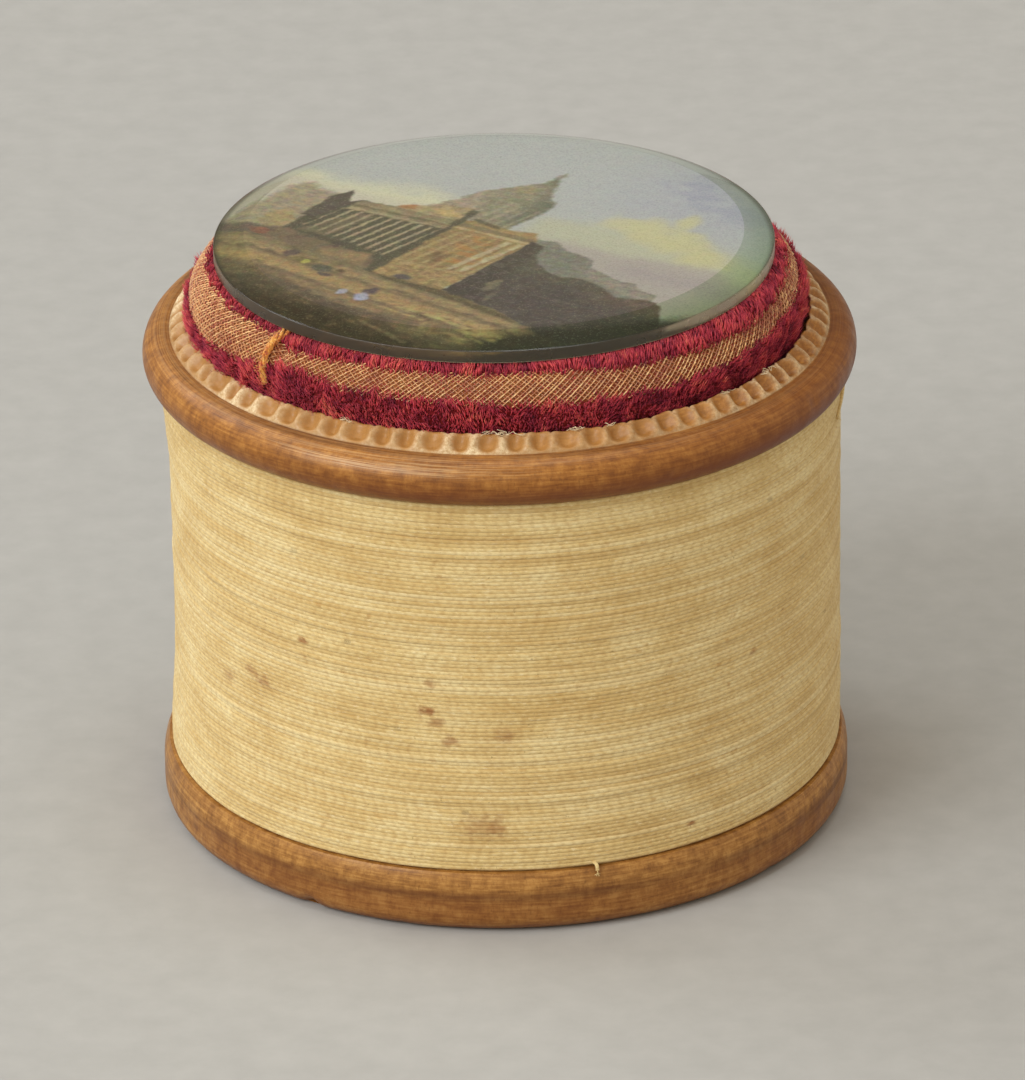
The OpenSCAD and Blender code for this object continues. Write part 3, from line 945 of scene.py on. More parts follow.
def weave_family(name, rising, radius, lift, material, seed):
    """Threads of one direction of the worn ground's diagonal weave, each passing over and under the others."""
    rng = np.random.default_rng(seed)
    count = round(2 * math.pi * SIDE_R / WEAVE_SPACING)
    direction = 1 if rising else -1
    root_angle = 2 * math.pi * (np.arange(count)[:, None] + 0.1 * rng.normal(size=(count, 1))) / count
    low, high = worn_band(root_angle)
    middle = (low + high) / 2
    start = low - 0.2 + rng.uniform(-0.1, 0.9, (count, 1)) ** 2
    stop = high + 0.2 - rng.uniform(-0.1, 0.9, (count, 1)) ** 2
    length = start + (stop - start) * np.linspace(0, 1, WEAVE_STEPS)
    angle = root_angle + direction * WEAVE_SLOPE * (length - middle) / SIDE_R
    low, high = worn_band(angle)
    length = np.clip(length, low - 0.1, high + 0.1)
    centre, outward = cushion_surface(angle, length)
    over = direction * np.cos(2 * math.pi * WEAVE_SLOPE * length / WEAVE_SPACING)
    wander = 0.02 * noise_plane(root_angle * 900, length, 1.0, seed + 1)
    centre = centre + outward * (lift + 0.045 * over + wander)[..., None]
    forward = unit(np.gradient(centre, axis=1))
    side = np.cross(forward, outward)
    odd = np.arange(count)[:, None] % 2
    heavy = 1.35 - 0.5 * odd
    thick = (radius * heavy * (1 + 0.15 * rng.normal(size=centre.shape[:2]).clip(-2, 2)))[..., None]
    turns = np.radians([90, 210, 330])
    points = np.stack([centre + thick * (math.sin(t) * outward + math.cos(t) * side) for t in turns], 2)
    strip = grid_faces(WEAVE_STEPS, 3, close_rows=False)
    size = WEAVE_STEPS * 3
    patch = noise_plane(angle * SIDE_R, length, 0.9, seed + 2)
    degrees = np.degrees(turned(angle))
    right = smooth_step(-55, -20, degrees) * (degrees < 60)
    shade = 0.34 + 0.35 * right + 0.42 * patch + 0.24 * odd + 0.12 * rng.normal(size=(count, 1))
    shade = np.repeat(np.clip(shade, 0, 1)[..., None], 3, 2)
    for half in range(2):
        own = slice(count * half // 2, count * (half + 1) // 2)
        starts = size * np.arange(own.stop - own.start)[:, None, None]
        quads = (strip[None] + starts).reshape(-1, 4)
        caps = (np.array([[0, 1, 2], [size - 1, size - 2, size - 3]])[None] + starts).reshape(-1, 3)
        piece = make_piece(f"{name}_{half + 1}", points[own], [quads, caps], "cushion_top",
                           material)
        set_values(piece, "shade", shade[own])


def cushion_join(material):
    """The gold selvedge: a few loosely twisted strands down the velvet, with short frayed ends."""
    rng = np.random.default_rng(71)
    heights = [56.9, 56.6, 56.1, 55.5, 54.8, 54.0, 53.2, 52.5]
    drift = [0.0, 0.0, -0.1, -0.15, -0.15, -0.1, 0.05, 0.15]
    widths = np.interp(np.linspace(0, 1, JOIN_STEPS), [0, 0.12, 0.4, 0.6, 0.8, 1],
                       [0.5, 0.38, 0.24, 0.22, 0.25, 0.16])
    angle = math.radians(JOIN_ANGLE) + np.array(drift) / SIDE_R
    centre, outward = cushion_surface(angle, length_at(np.array(heights)))
    centre = spaced(spline(centre + 0.28 * outward, 10), JOIN_STEPS)
    outward = spaced(spline(outward, 10), JOIN_STEPS)
    side = unit(np.cross(np.gradient(centre, axis=0), outward))
    step = np.arange(float(JOIN_STEPS))
    parts = []
    for strand in range(6):
        turn = 2 * math.pi * (strand / 6 + np.linspace(0, 1.6, JOIN_STEPS))
        turn = turn + 0.5 * noise_line(step, 9, 72 + strand)
        offset = widths[:, None] * (np.cos(turn)[:, None] * side + 0.8 * np.sin(turn)[:, None] * outward)
        parts.append(tube(centre + offset, 0.16 + 0.06 * noise_line(step, 4, 80 + strand), 6))
    for _ in range(150):
        root = rng.integers(1, JOIN_STEPS - 2)
        flight = unit(side[root] * rng.choice([-1, 1]) + 0.7 * outward[root] + 0.6 * rng.normal(size=3))
        end = centre[root] + flight * rng.uniform(0.3, 0.9)
        bend = (centre[root] + end) / 2 + 0.15 * rng.normal(size=3)
        parts.append(tube(spline([centre[root], bend, end], 4), 0.03, 4))
    points, quads, triangles = joined(parts)
    piece = make_piece("velvet_join", points, [quads, triangles], "cushion_top", material)
    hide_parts("cover_join")


def gathering_thread(material):
    """The running stitch that draws the lower hem in: two plies, up and down through the gathers."""
    angle = np.linspace(0, 2 * math.pi, 720, endpoint=False)
    radius = HEM_R + 0.08 * np.sin(angle * HEM_GATHERS)
    height = CUSHION_LOW + 0.25 + 0.12 * np.sin(angle * HEM_GATHERS / 2)
    section = np.linspace(0, 2 * math.pi, 6, endpoint=False)
    parts = []
    for ply in (0, math.pi):
        twist = angle[:, None] * 190 + ply
        ply_r = radius[:, None] + 0.09 * np.cos(twist) + 0.11 * np.cos(section)
        ply_z = height[:, None] + 0.09 * np.sin(twist) + 0.11 * np.sin(section)
        points = from_round(ply_r, angle[:, None] + 0 * section, ply_z).reshape(-1, 3)
        parts.append((points, grid_faces(720, 6), np.zeros((0, 3), int)))
    points, quads, _ = joined(parts)
    piece = make_piece("gathering_thread", points, [quads], "cushion_top", material)
    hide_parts("draw_thread")


def wool_pad(material):
    """The wadding that fills the velvet, lumpy where it is packed."""
    floor = CUSHION_LOW + 1.65
    side = CUSHION_LINE[(CUSHION_LINE[:, 1] > floor + 0.2) & (CUSHION_LINE[:, 1] < CUSHION_TOP - 0.2)]
    top = CUSHION_TOP - 0.75
    outer = [(r - 0.75, min(z, top)) for r, z in side[::3]]
    profile = np.array([(2.0, floor), (14.0, floor), *outer, (24.0, top), (14.0, top), (2.0, top)])
    radius, height, angle = revolved(spaced(np.vstack([profile, profile[:1]]), 90)[:-1], 240)
    lumps = noise_plane(angle * 12, height * 1.5 + radius, 3.0, 91) * 0.1 + 0.08 * noise_ring(angle, 60, 92)
    rim = radius > 20
    pinch = np.exp(-((turned(angle - PINCH_ANGLE) * radius / 1.3) ** 2))
    radius = radius + np.where(rim, lumps - 0.15 - 0.8 * pinch, 0)
    piece = make_piece("wool_pad", from_round(radius, angle, height), [grid_faces(*radius.shape)],
                       "cushion_top", material)
    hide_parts("stuffing")


def lint(material):
    """Fluff caught on the rim and a frayed scrap of thread at the front."""
    rng = np.random.default_rng(101)
    parts = []
    for angle, spread, count in [(-88, 2.6, 12), (-76.5, 0.5, 5), (-119, 0.8, 4), (-70, 0.6, 3), (-46, 0.8, 4),
                                 (-33, 1.0, 5), (64, 1.2, 6), (128, 1.0, 6)]:
        for _ in range(count):
            centre = math.radians(angle + rng.normal() * spread)
            long = rng.uniform(0.004, 0.022)
            bends = centre + np.array([-1, -0.3, 0.4, 1]) * long + rng.normal(size=4) * 0.004
            radius = SEAT_R + 0.35 + rng.normal(size=4) * 0.22
            height = RIM_TOP - 0.12 + np.abs(rng.normal(size=4)) * 0.16
            parts.append(tube(spline(from_round(radius, bends, height), 5), rng.uniform(0.02, 0.045), 4))
    points, quads, triangles = joined(parts)
    make_piece("rim_lint", points, [quads, triangles], "reel", material)


# ---------------------------------------------------------------- picture and glass

class Painting:
    """Colours laid in layers on the points of a flat picture. u runs right and v up, in millimetres."""

    def __init__(self, u, v, ragged):
        self.u, self.v, self.ragged = u, v, ragged
        self.colours = np.zeros((len(u), 3))

    def lay(self, colour, strength, mask):
        """A display colour over what is there, by a strength and a mask from 0 to 1."""
        self.colours += (np.array(srgb(*colour)) - self.colours) * (np.clip(mask, 0, 1) * strength)[:, None]

    def shape(self, *corners, soft=0.2, ragged=0.15):
        """Inside a polygon of (u, v) corners, with a soft and ragged edge."""
        inside = np.zeros(len(self.u), bool)
        near = np.full(len(self.u), 99.0)
        for (u1, v1), (u2, v2) in zip(corners, corners[1:] + corners[:1]):
            du, dv = u2 - u1, v2 - v1
            part = np.clip(((self.u - u1) * du + (self.v - v1) * dv) / (du**2 + dv**2), 0, 1)
            near = np.minimum(near, np.hypot(self.u - u1 - part * du, self.v - v1 - part * dv))
            if dv:
                inside ^= ((v1 > self.v) != (v2 > self.v)) & (self.u < u1 + (self.v - v1) * du / dv)
        return smooth_step(-soft, soft, np.where(inside, near, -near) + ragged * self.ragged)

    def blot(self, u, v, wide, high):
        """Inside a ragged oval."""
        return smooth_step(1.25, 0.6, np.hypot((self.u - u) / wide, (self.v - v) / high) + 0.4 * self.ragged)

    def patch(self, colour, strength, *corners, soft=0.2):
        self.lay(colour, strength, self.shape(*corners, soft=soft))

    def dab(self, colour, strength, u, v, wide, high, on=1):
        """A blot of colour, which may be kept within a mask."""
        self.lay(colour, strength, on * self.blot(u, v, wide, high))


def paint_view(u, v):
    """A generic view: a domed public building with a colonnade, a shaded wing, a road and a clouded sky."""
    dabs = noise_layers(u * 0.5, v * 1.4, (0.7, 0.7, 128), (0.5, 0.3, 129))
    specks = noise_layers(u, v, (0.7, 0.42, 130), (0.5, 0.2, 131))
    ragged = noise_layers(u, v, (0.8, 1.3, 132), (0.6, 0.5, 133))
    p = Painting(u + 0.08 * noise_plane(u, v, 0.6, 121), v + 0.1 * noise_plane(u, v, 0.6, 123), ragged)
    clouds = noise_layers(u, v * 1.6, (1, 6.5, 125), (0.5, 2.6, 126)) + 0.3 * noise_plane(u, v, 1.1, 127)

    # Sky and clouds
    p.lay((188, 187, 186), 1, np.ones_like(u))
    p.lay((181, 180, 187), 0.9, smooth_step(-2, 14, u) * smooth_step(6, 14, v))
    veil = smooth_step(0.0, 1.0, clouds + 0.3)
    p.lay((163, 163, 180), 0.7, veil * smooth_step(4, 9, u) * smooth_step(12, 17, v))
    p.lay((218, 212, 182), 0.95, smooth_step(-4, -10, u) * smooth_step(10, 6, v + 1.2 * clouds - 0.1 * u))
    p.lay((200, 186, 176), 0.7, smooth_step(-6, -12, u) * smooth_step(5.0, 2.0, v + clouds))
    p.lay((194, 190, 166), 0.9, smooth_step(0, 3, u) * smooth_step(8.5, 5.5, v - clouds))
    puffs = noise_layers(u, v, (0.8, 2.4, 126), (0.5, 1.1, 127))
    for u_at, v_at, wide, high in [
        (11.5, 9.0, 4.0, 2.2), (16.5, 7.2, 4.6, 2.8), (20.5, 5.0, 3.2, 2.6), (14.8, 12.2, 1.2, 2.2),
    ]:
        far = np.hypot((u - u_at) / wide, (v - v_at) / high) + 0.3 * puffs
        p.lay((204, 195, 156), 0.75, smooth_step(1.35, 0.75, far))
        p.lay((210, 202, 150), 0.5, smooth_step(1.0, 0.4, far))
    p.lay((182, 170, 164), 0.9, smooth_step(2, 8, u) * smooth_step(4.0, 1.5, v - clouds))
    p.lay((168, 154, 158), 0.6, smooth_step(12, 17, u) * hill(v + 0.4 * clouds, -0.5, 1.8))
    p.colours *= 0.86
    sky = p.colours.copy()

    # Hazy buildings far off, to the left and to the right
    haze_left = p.shape((-25.5, -11), (-24.2, 1.2), (-22.8, 2.9), (-21.5, 1.9), (-19.5, 1.6), (-17, 0.8),
                        (-16, -13), (-25.5, -13), soft=0.6)
    p.lay((146, 131, 112), 0.85, haze_left)
    p.lay((158, 144, 108), 0.5, haze_left * smooth_step(-0.2, 0.7, dabs + 0.3))
    p.dab((156, 136, 84), 0.6, -20.8, -6.2, 1.6, 2.2)
    p.patch((84, 68, 58), 0.8, (-25.5, -9.4), (-18, -8.0), (-15, -10.6), (-15, -12.2), (-25.5, -11), soft=0.5)
    p.dab((146, 84, 62), 0.6, -20.6, -10.0, 1.2, 0.7)
    p.patch((125, 121, 109), 1, (3.6, 1.6), (6.4, 1.7), (8.2, 0.5), (11.6, -0.4), (12.2, -1.9), (16.6, -3.5),
            (18.1, -3.3), (19, -4.6), (21.2, -4.7), (21.8, -9), (3, -9))
    p.patch((146, 134, 122), 0.7, (12.5, -2.3), (16.6, -3.7), (21.0, -4.9), (21.2, -7), (16, -5.4),
            (13.2, -4.3), soft=0.5)

    # Dome on its drum, with a pointed lantern
    dome = p.shape((-10.0, 3.0), (-8.4, 5.6), (-7.3, 8.4), (-6.3, 9.8), (-5.4, 11.0), (-4.1, 12.3),
                   (-3.0, 13.4), (-2.4, 15.0), (-2.0, 17.0), (-1.6, 15.0), (-1.2, 13.4), (-0.8, 12.2),
                   (-0.1, 11.0), (1.0, 9.4), (1.2, 8.0), (0.8, 5.2), (0.0, 2.0), (-10, 2.0), soft=0.4,
                   ragged=0.3)
    p.lay((138, 130, 110), 1, dome)
    p.lay((162, 144, 124), 0.8, dome * smooth_step(-4.4, -7.0, u + 0.2 * v - 1.6))
    p.lay((112, 110, 94), 0.95, dome * smooth_step(-2.6, -0.2, u - 0.08 * v + 0.4))
    p.lay((104, 98, 80), 0.7, dome * smooth_step(13, 15, v))
    p.dab((164, 148, 108), 0.5, -3.5, 11.6, 1.3, 1.3, on=dome)
    drum_columns = smooth_step(0.1, 0.9, np.sin((p.u - 0.2 * v) * 5.4))
    p.lay((172, 158, 140), 0.35, dome * smooth_step(8.2, 7.0, v) * drum_columns)
    p.lay((172, 152, 112), 0.3, dome * smooth_step(0.3, 0.8, dabs))

    # Colonnade, its entablature and roof
    lean = p.u - 0.21 * (p.v + 5)
    p.patch((84, 78, 60), 1, (-19.8, -13), (-18.6, -2), (-16.2, 1.2), (-12.5, 1.7), (-4.6, 1.6), (-5.4, -15))
    foot = smooth_step(-7.4, -6.4, p.v + 0.24 * (p.u + 17))
    columns = smooth_step(0.1, 0.8, np.sin((lean + 16.6) * 2 * math.pi / 1.13))
    colonnade = p.shape((-18.2, -8), (-16.4, -1.2), (-5.4, -1.0), (-6.8, -10.2))
    p.lay((164, 148, 120), 0.88, colonnade * columns * foot)
    p.patch((140, 122, 94), 0.35, (-17.8, -8), (-14.5, -1.4), (-12.6, -1.4), (-14.4, -8))
    p.patch((140, 124, 96), 1, (-16.3, -1.2), (-16.0, 1.0), (-12.5, 1.7), (-4.8, 1.6), (-4.9, -0.9))
    p.patch((96, 84, 60), 0.7, (-16.0, -0.2), (-15.8, 0.2), (-5.0, 0.3), (-5.0, -0.1), soft=0.12)
    p.patch((168, 152, 120), 0.7, (-16.2, -1.0), (-16.2, -0.6), (-5.1, -0.5), (-5.1, -0.8), soft=0.15)
    roof = p.shape((-12.8, 1.4), (-11.6, 2.7), (-9.6, 3.3), (-8.2, 4.5), (-5.2, 4.9), (-5.0, 1.6))
    p.lay((160, 140, 106), 1, roof)
    p.dab((170, 112, 62), 0.7, -11.2, 2.3, 1.1, 0.6, on=roof)
    p.dab((186, 158, 110), 0.8, -7.2, 2.8, 1.8, 0.7, on=roof)
    p.patch((84, 74, 64), 1, (-19.4, -4.6), (-19.2, 0.6), (-18.1, 3.3), (-17.2, 0.9), (-16.6, -0.2),
            (-18.0, -4.6))
    p.patch((116, 98, 76), 0.9, (-19.6, -8.0), (-7.2, -10.4), (-6.0, -15), (-19.6, -13), soft=0.4)
    p.patch((148, 124, 88), 0.8, (-12.8, -10.6), (-8.0, -9.6), (-7.6, -12.4), (-13.0, -12.2), soft=0.5)
    p.dab((78, 66, 60), 0.7, -12.2, -9.4, 0.9, 1.0)
    doorways = p.shape((-17.2, -9.6), (-13.6, -9.0), (-13.6, -8.0), (-17.0, -7.8))
    p.lay((76, 68, 58), 0.7, doorways * smooth_step(0, 0.5, specks))

    # Main front, with pilasters, windows and a cornice
    p.patch((152, 126, 86), 1, (-4.9, 1.7), (-3.6, 2.5), (0.6, 2.1), (3.4, 2.6), (4.3, 1.0), (2.5, -15.5),
            (-6.2, -15))
    p.patch((84, 78, 64), 0.8, (-4.2, 2.4), (-0.4, 1.6), (-0.4, 2.1), (-3.9, 3.0), soft=0.15)
    p.patch((120, 106, 80), 0.8, (-4.8, 1.5), (4.2, 1.1), (4.1, 0.3), (-4.8, 0.5), soft=0.15)
    p.patch((176, 160, 122), 0.8, (-4.8, 0.4), (4.1, 0.2), (4.1, -0.2), (-4.8, 0.0), soft=0.12)
    front = p.shape((-4.8, -0.4), (4.0, -0.5), (3.1, -9.4), (-5.6, -9.2))
    pilasters = smooth_step(0.1, 0.8, np.sin((lean + 4.6) * 2 * math.pi / 1.3))
    p.lay((170, 150, 108), 0.5, front * pilasters)
    p.lay((110, 86, 58), 0.7, front * smooth_step(0.0, 0.6, specks) * (1 - pilasters))
    p.lay((172, 114, 60), 0.6, front * p.blot(0.4, -4.4, 2.2, 3.8) * smooth_step(-0.2, 0.5, dabs))
    p.dab((98, 72, 50), 0.6, -2.2, -7.0, 0.8, 1.2, on=front)
    for left in (1.9, 3.2):
        p.patch((186, 172, 140), 0.75, (left, -0.6), (left + 0.55, -0.6), (left - 1.2, -9.2),
                (left - 1.75, -9.2), soft=0.15)
    p.patch((176, 156, 112), 0.6, (-5.6, -9.3), (3.1, -9.5), (3.0, -9.9), (-5.7, -9.7), soft=0.15)
    base_course = p.shape((-5.7, -9.8), (3.0, -10), (2.6, -13.7), (-5.9, -13))
    p.lay((174, 152, 104), 0.5, base_course * smooth_step(-0.1, 0.7, specks))
    p.lay((128, 108, 76), 0.5, base_course * smooth_step(-0.1, -0.8, specks))
    p.dab((80, 74, 80), 0.85, -2.4, -12.9, 1.0, 0.7)
    p.patch((78, 74, 56), 0.9, (-5.3, 4.8), (-4.5, 4.4), (-4.4, 1.5), (-5.2, -6), (-5.6, -14.6),
            (-6.6, -14.4), (-6.5, -8), (-5.3, -0.5))

    # Shaded wing that runs back to the right
    wing = p.shape((4.1, 0.6), (5.6, 0.2), (6.2, -2.2), (7.4, -3.8), (9.0, -5.0), (11.0, -5.4), (12.1, -4.9),
                   (14.2, -5.0), (16.2, -6.0), (18.0, -7.0), (20.4, -6.3), (22.2, -6.4), (26, -12), (26, -20),
                   (2.4, -16))
    p.lay((80, 70, 65), 1, wing)
    p.lay((92, 86, 70), 0.7, wing * smooth_step(-9, -5, v - 0.1 * dabs))
    p.lay((98, 80, 66), 0.7, wing * smooth_step(14, 18, u) * smooth_step(-10, -7.5, v))
    p.lay((66, 58, 52), 0.7, wing * smooth_step(6.4, 4.6, u + 0.1 * v))
    p.lay((106, 94, 84), 0.35, wing * smooth_step(0.1, 0.8, specks + 0.4 * dabs))
    p.dab((126, 116, 92), 0.7, 6.2, -10.4, 0.7, 1.5, on=wing)
    p.dab((122, 112, 92), 0.5, 7.4, -12.6, 0.5, 1.5, on=wing)

    # Road and foreground, with cart tracks that run down to the right
    ground = p.shape((-28, -10.8), (-18, -11.4), (-6.2, -13.4), (2.6, -14.0), (9, -15.2), (14, -17.2),
                     (28, -18), (28, -28), (-28, -28))
    slope = v + 0.15 * u
    p.lay((136, 117, 88), 1, ground)
    p.lay((162, 138, 94), 0.6, ground * smooth_step(0.0, 0.6, dabs))
    p.lay((104, 88, 66), 0.6, ground * smooth_step(-0.1, -0.7, dabs))
    for level, width, colour in [
        (-14.4, 0.5, (108, 98, 70)), (-15.8, 0.45, (156, 132, 92)), (-16.7, 0.35, (104, 84, 64)),
        (-18.2, 0.9, (172, 140, 92)), (-19.6, 0.4, (112, 90, 70)), (-20.6, 0.5, (136, 108, 76)),
    ]:
        p.lay(colour, 0.75, ground * hill(slope + 0.3 * dabs, level, width))
    p.patch((88, 74, 50), 0.8, (-6.4, -13.2), (2.6, -13.8), (10, -15.6), (14, -17.4), (4, -15.3), (-4, -14.1),
            soft=0.25)
    p.lay((86, 70, 54), 0.9, smooth_step(-20.2, -22.6, slope + 0.8 * clouds + 0.4 * dabs))
    p.lay((62, 44, 26), 0.9, smooth_step(-22, -25, slope + 0.5 * dabs))
    p.lay((122, 92, 68), 0.6, smooth_step(-20.5, -22, slope) * smooth_step(0.2, 1.0, dabs))
    p.lay((84, 74, 60), 0.5, smooth_step(-12, -20, u - 0.5 * v - 12) * smooth_step(-18.4, -20.4, slope))
    p.lay((44, 38, 26), 0.95, smooth_step(9, 13, u) * smooth_step(30.5, 33.5, u - v))
    shrubs = p.shape((2, -20.2), (5, -18.6), (9, -18.3), (13.4, -19.6), (12, -22.6), (7, -22.2), (3, -21.4),
                     soft=0.5)
    p.lay((162, 146, 96), 0.6, shrubs * smooth_step(0.1, 0.8, dabs))
    p.lay((84, 70, 44), 0.6, shrubs * smooth_step(-0.1, -0.8, dabs))
    p.patch((150, 128, 100), 0.5, (-0.5, -22.9), (5.5, -24.6), (5.5, -25.0), (-0.7, -23.2), soft=0.15)

    for start, run, fall in [(2, 9, -1.2), (3.5, 8.5, -2.2), (1, 7.5, -0.9), (5, 8, -0.6), (-3, 8, -1.6)]:
        end, rise = start + run, 0.1 * start
        p.patch((176, 160, 104), 0.55, (start, -19.2 + rise), (end, -19.2 + fall), (end, -19.38 + fall),
                (start, -19.4 + rise), soft=0.14)

    # Coach, and small specks of figures on the road
    for u_at, v_at, wide, high, colour in [
        (-14.9, -13.3, 1.0, 1.1, (88, 72, 68)), (-13.0, -13.9, 1.5, 0.9, (110, 96, 62)),
        (-12.6, -14.4, 0.4, 0.6, (172, 164, 84)), (-10.3, -14.9, 1.3, 0.9, (84, 84, 70)),
        (-8.4, -14.6, 0.8, 0.5, (96, 72, 52)), (-9.2, -16.2, 0.9, 0.4, (82, 70, 66)),
        (-3.3, -17.4, 0.9, 1.0, (74, 62, 70)), (-5.6, -18.9, 0.5, 0.7, (170, 168, 180)),
        (-3.4, -18.9, 0.75, 1.0, (168, 170, 192)),
    ]:
        p.dab(colour, 0.9, u_at, v_at, wide, high)

    # Brush marks over it all, faint in the sky
    painted = smooth_step(0.03, 0.12, np.abs(p.colours - sky).sum(1))
    p.colours *= (1 + (0.03 + 0.2 * painted) * (0.8 * specks + 0.6 * dabs))[:, None]
    tints = np.stack([noise_plane(u, v, 0.5, seed) for seed in (134, 135, 136)], -1)
    p.colours *= 1 + (0.02 + 0.09 * painted)[:, None] * tints
    p.lay((62, 58, 44), 0.7, smooth_step(26.3, 27.0, np.hypot(u, v)))
    return np.clip(p.colours, 0, 1)


def picture(material):
    """A thin disc whose upper face carries the view, with its top away from the front and to the right.

    It is stuck to the glass, so its face is a hair inside it, and no air shows at the bevel."""
    steps = PICTURE_STEPS
    t = np.linspace(-1, 1, steps)
    x, y = np.meshgrid(t, t, indexing="ij")
    u = (x * np.sqrt(1 - y**2 / 2) * PICTURE_R).ravel()
    v = (y * np.sqrt(1 - x**2 / 2) * PICTURE_R).ravel()
    turn = math.radians(PICTURE_TURN)
    place_x = u * math.cos(turn) - v * math.sin(turn)
    place_y = u * math.sin(turn) + v * math.cos(turn)
    top = np.stack([place_x, place_y, np.full_like(u, GLASS_LOW + 0.004)], -1)
    faces = grid_faces(steps, steps, close_rows=False, close_columns=False)
    index = np.arange(steps * steps).reshape(steps, steps)
    border = np.concatenate([index[:-1, 0], index[-1, :-1], index[:0:-1, -1], index[0, :0:-1]])
    under = top[border] * (1, 1, 0) + (0, 0, PICTURE_LOW)
    low = steps * steps + np.arange(len(border))
    wall = np.stack([border, low, np.roll(low, -1), np.roll(border, -1)], -1)
    base = fan(len(top) + len(under), low)[:, [1, 0, 2]]
    points = np.concatenate([top, under, [(0, 0, PICTURE_LOW)]])
    piece = make_piece("painted_picture", points, [faces, wall, base], "cushion_top", material,
                       sharp=40)
    colours = np.ones((len(points), 4))
    colours[:, :3] = srgb(200, 190, 165)
    colours[:len(top), :3] = paint_view(u, v)
    attribute = piece.data.attributes.new("paint", "FLOAT_COLOR", "POINT")
    attribute.data.foreach_set("color", colours.astype(np.float32).ravel())
    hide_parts("picture_print")


# Direction towards which the bevel is tinted most green, as a painted reflection
GREEN_SIDE = math.radians(-50)


def bevelled_glass(material):
    """The glass disc with its arrises just broken."""
    edge_top = GLASS_LOW + GLASS_EDGE
    slope = math.degrees(math.atan2(GLASS_TOP - edge_top, BEVEL_W))
    outline = np.concatenate([
        [(0.0, GLASS_LOW), (GLASS_R * 0.5, GLASS_LOW), (GLASS_R - 1, GLASS_LOW)],
        arc(GLASS_R - 0.03, GLASS_LOW + 0.03, 0.03, -90, 0, 2),
        arc(GLASS_R - 0.08, edge_top - 0.08, 0.08, 0, 90 - slope, 3),
        [(GLASS_R - 0.25, edge_top + 0.25 * (GLASS_TOP - edge_top) / BEVEL_W)],
        [(GLASS_R - BEVEL_W + 0.05, GLASS_TOP - 0.017), (GLASS_R - BEVEL_W - 0.05, GLASS_TOP)],
        [(GLASS_R * 0.5, GLASS_TOP), (0.0, GLASS_TOP)],
    ])
    radius, height, angle = revolved(outline[1:-1], GLASS_STEPS)
    rows = radius.shape[1]
    points = from_round(radius, angle, height).reshape(-1, 3)
    sides = grid_faces(GLASS_STEPS, rows, close_columns=False)
    ring = np.arange(GLASS_STEPS) * rows
    base = fan(len(points), ring)[:, [0, 2, 1]]
    top = fan(len(points) + 1, ring + rows - 1)
    points = np.concatenate([points, [(0, 0, GLASS_LOW), (0, 0, GLASS_TOP)]])
    piece = make_piece("bevelled_glass", points, [sides, base, top], "cushion_top", material,
                       sharp=8)
    out = np.hypot(points[:, 0], points[:, 1])
    round_to = np.arctan2(points[:, 1], points[:, 0])
    # The bevel's green grows towards GREEN_SIDE as a painted reflection; the even part of the tint is the glass's
    # own colour.
    painted_green_reflection = 0.35 + 0.65 * (0.5 + 0.5 * np.cos(round_to - GREEN_SIDE))
    set_values(piece, "rim", 0.75 * painted_green_reflection * (out > GLASS_R - BEVEL_W) + 0.25 * (out > GLASS_R - 0.3))
    set_values(piece, "ground", (out > GLASS_R - 0.15) * 1.0)
    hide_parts("glass_disc")


# ---------------------------------------------------------------- stage

CAMERA_PLACE = (0.00096, -0.81705, 0.40384)
CAMERA_PITCH = 24.8
CAMERA_ROLL = -0.88
CAMERA_LENS = 303.06


def camera():
    data = bpy.data.cameras.new("camera")
    data.lens = CAMERA_LENS
    data.sensor_width = 36
    data.clip_start, data.clip_end = 0.05, 20
    pitch, roll = math.radians(CAMERA_PITCH), math.radians(CAMERA_ROLL)
    right, up = Vector((1, 0, 0)), Vector((0, math.sin(pitch), math.cos(pitch)))
    turned_right = right * math.cos(roll) + up * math.sin(roll)
    turned_up = up * math.cos(roll) - right * math.sin(roll)
    back = turned_right.cross(turned_up)
    holder = bpy.data.objects.new("camera", data)
    axes = Matrix([turned_right, turned_up, back]).transposed()
    holder.matrix_world = Matrix.Translation(CAMERA_PLACE) @ axes.to_4x4()
    bpy.context.scene.collection.objects.link(holder)
    bpy.context.scene.camera = holder


def soft_box(name, place, aim, size, power, colour):
    data = bpy.data.lights.new(name, "AREA")
    data.shape = "RECTANGLE"
    data.size, data.size_y = size
    data.energy = power
    data.color = colour
    lamp = bpy.data.objects.new(name, data)
    lamp.location = place
    lamp.rotation_euler = (Vector(aim) - Vector(place)).to_track_quat("-Z", "Y").to_euler()
    bpy.context.scene.collection.objects.link(lamp)


def room():
    """Even warm light from all round, with a darker wall at the far side, low behind the object."""
    world = bpy.data.worlds.new("room")
    world.use_nodes = True
    nodes, links = world.node_tree.nodes, world.node_tree.links
    nodes["Background"].inputs["Color"].default_value = (1.0, 0.885, 0.72, 1)
    direction = nodes.new("ShaderNodeTexCoord").outputs["Generated"]
    towards = nodes.new("ShaderNodeVectorMath")
    towards.operation = "DOT_PRODUCT"
    towards.inputs[1].default_value = (0.0, 0.92, 0.39)
    strength = nodes.new("ShaderNodeMapRange")
    for socket, value in (("From Min", 0.45), ("From Max", 0.85), ("To Min", 0.76), ("To Max", 0.25)):
        strength.inputs[socket].default_value = value
    links.new(direction, towards.inputs[0])
    links.new(towards.outputs["Value"], strength.inputs["Value"])
    links.new(strength.outputs["Result"], nodes["Background"].inputs["Strength"])
    return world


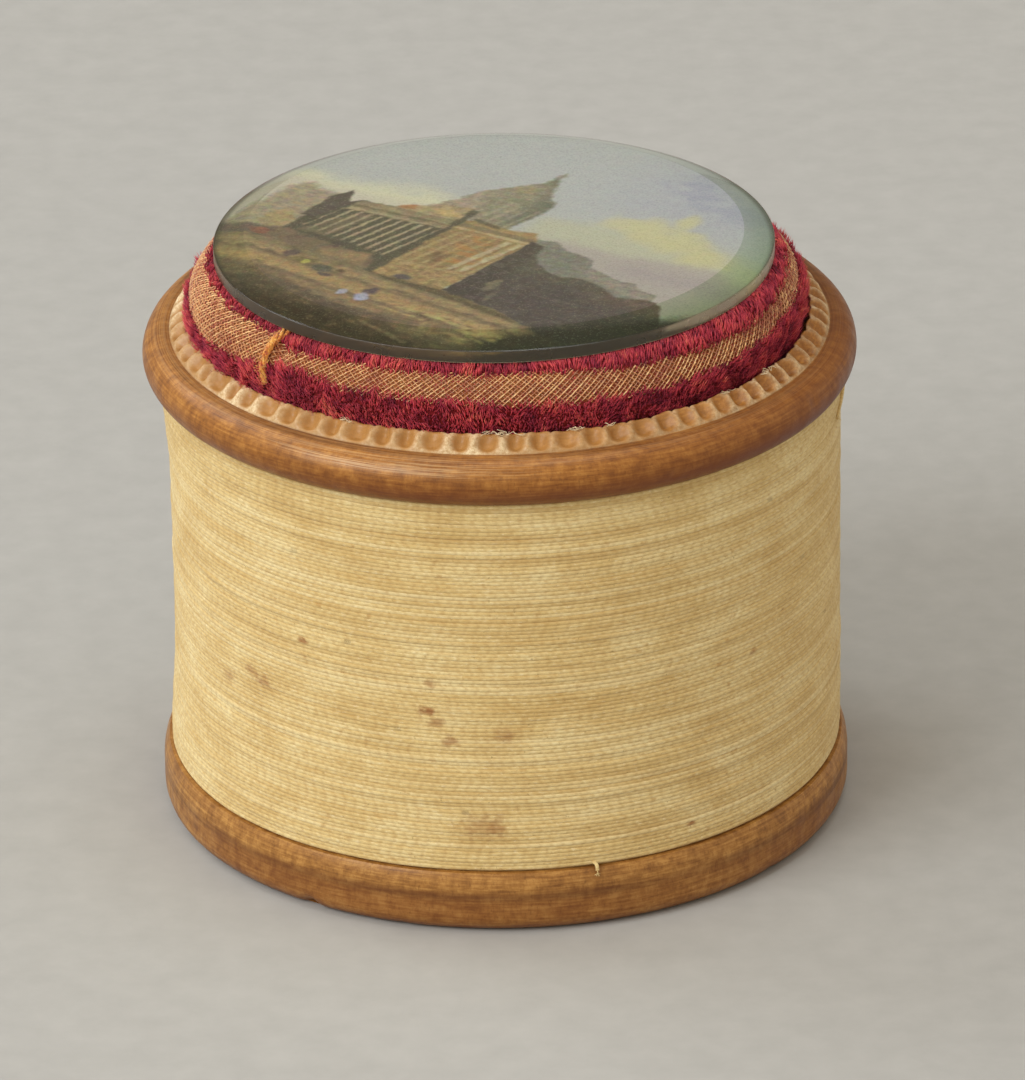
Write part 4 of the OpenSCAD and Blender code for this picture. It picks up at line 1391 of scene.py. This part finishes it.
def lights():
    soft_box("key", (-0.9, -0.75, 0.9), (0, 0, 0.03), (0.9, 0.7), 12.1, (0.96, 0.99, 1.0))
    soft_box("window", (-1.06, 0.72, 1.05), (0, 0, 0.03), (0.8, 0.8), 6.6, (0.92, 0.98, 1.0))
    soft_box("fill", (0.12, 0.1, 1.4), (0.06, 0.05, 0), (0.6, 0.6), 2.7, (0.92, 0.98, 1.0))
    bpy.context.scene.world = room()
    bpy.context.scene.view_settings.view_transform = "Standard"


def floor(material):
    corners = [(-3, -3, 0), (3, -3, 0), (3, 3, 0), (-3, 3, 0)]
    mesh = bpy.data.meshes.new("floor")
    mesh.from_pydata(corners, [], [(0, 1, 2, 3)])
    mesh.materials.append(material)
    plane = bpy.data.objects.new("floor", mesh)
    bpy.context.scene.collection.objects.link(plane)


# ---------------------------------------------------------------- the whole

def dress(node, material):
    """Gives a CAD node that stays its finish."""
    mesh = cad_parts[node].data
    mesh.materials.clear()
    mesh.materials.append(material)


camera()
lights()
floor(floor_paper())

lower_flange(wood("fruitwood_base", (128, 83, 36), (163, 113, 54), (192, 142, 76)))
upper_flange(wood("fruitwood_top", (124, 74, 25), (155, 99, 38), (184, 127, 58), carved=True))
dress("barrel", barrel_wood())
thread = sewing_thread()
top_layer(thread)
thread_core(under_layers())
loose_ends(thread)

velvet_cloth(velvet_ground())
pile = velvet_pile()
velvet_tufts("velvet_pile_low", 32, RIM_LENGTH, BAND_LENGTH + 0.8, pile, 200, sectors=3)
velvet_tufts("velvet_pile_high", 32, BAND_LENGTH + 0.8, CUSHION_LENGTHS[-1] - 0.6, pile, 210, sectors=2)
velvet_tufts("velvet_pile_worn", 26, length_at(52.4), length_at(56.8), pile, 220, worn=True)
weave_family("weave_rising", True, 0.068, 0.07, gold_weave("gold_weft", (255, 216, 156), (220, 146, 80)), 230)
weave_family("weave_falling", False, 0.055, 0.05, gold_weave("gold_warp", (230, 170, 108), (184, 104, 60)), 240)
cushion_join(join_silk())
gathering_thread(lint_fibre())
wool_pad(wool())
lint(lint_fibre())

dress("backing_card", card("grey_pasteboard", (122, 112, 92), (160, 150, 128)))
dress("mount_card", card("white_pasteboard", (200, 190, 166), (228, 220, 200)))
picture(picture_paint())
bevelled_glass(clear_glass())
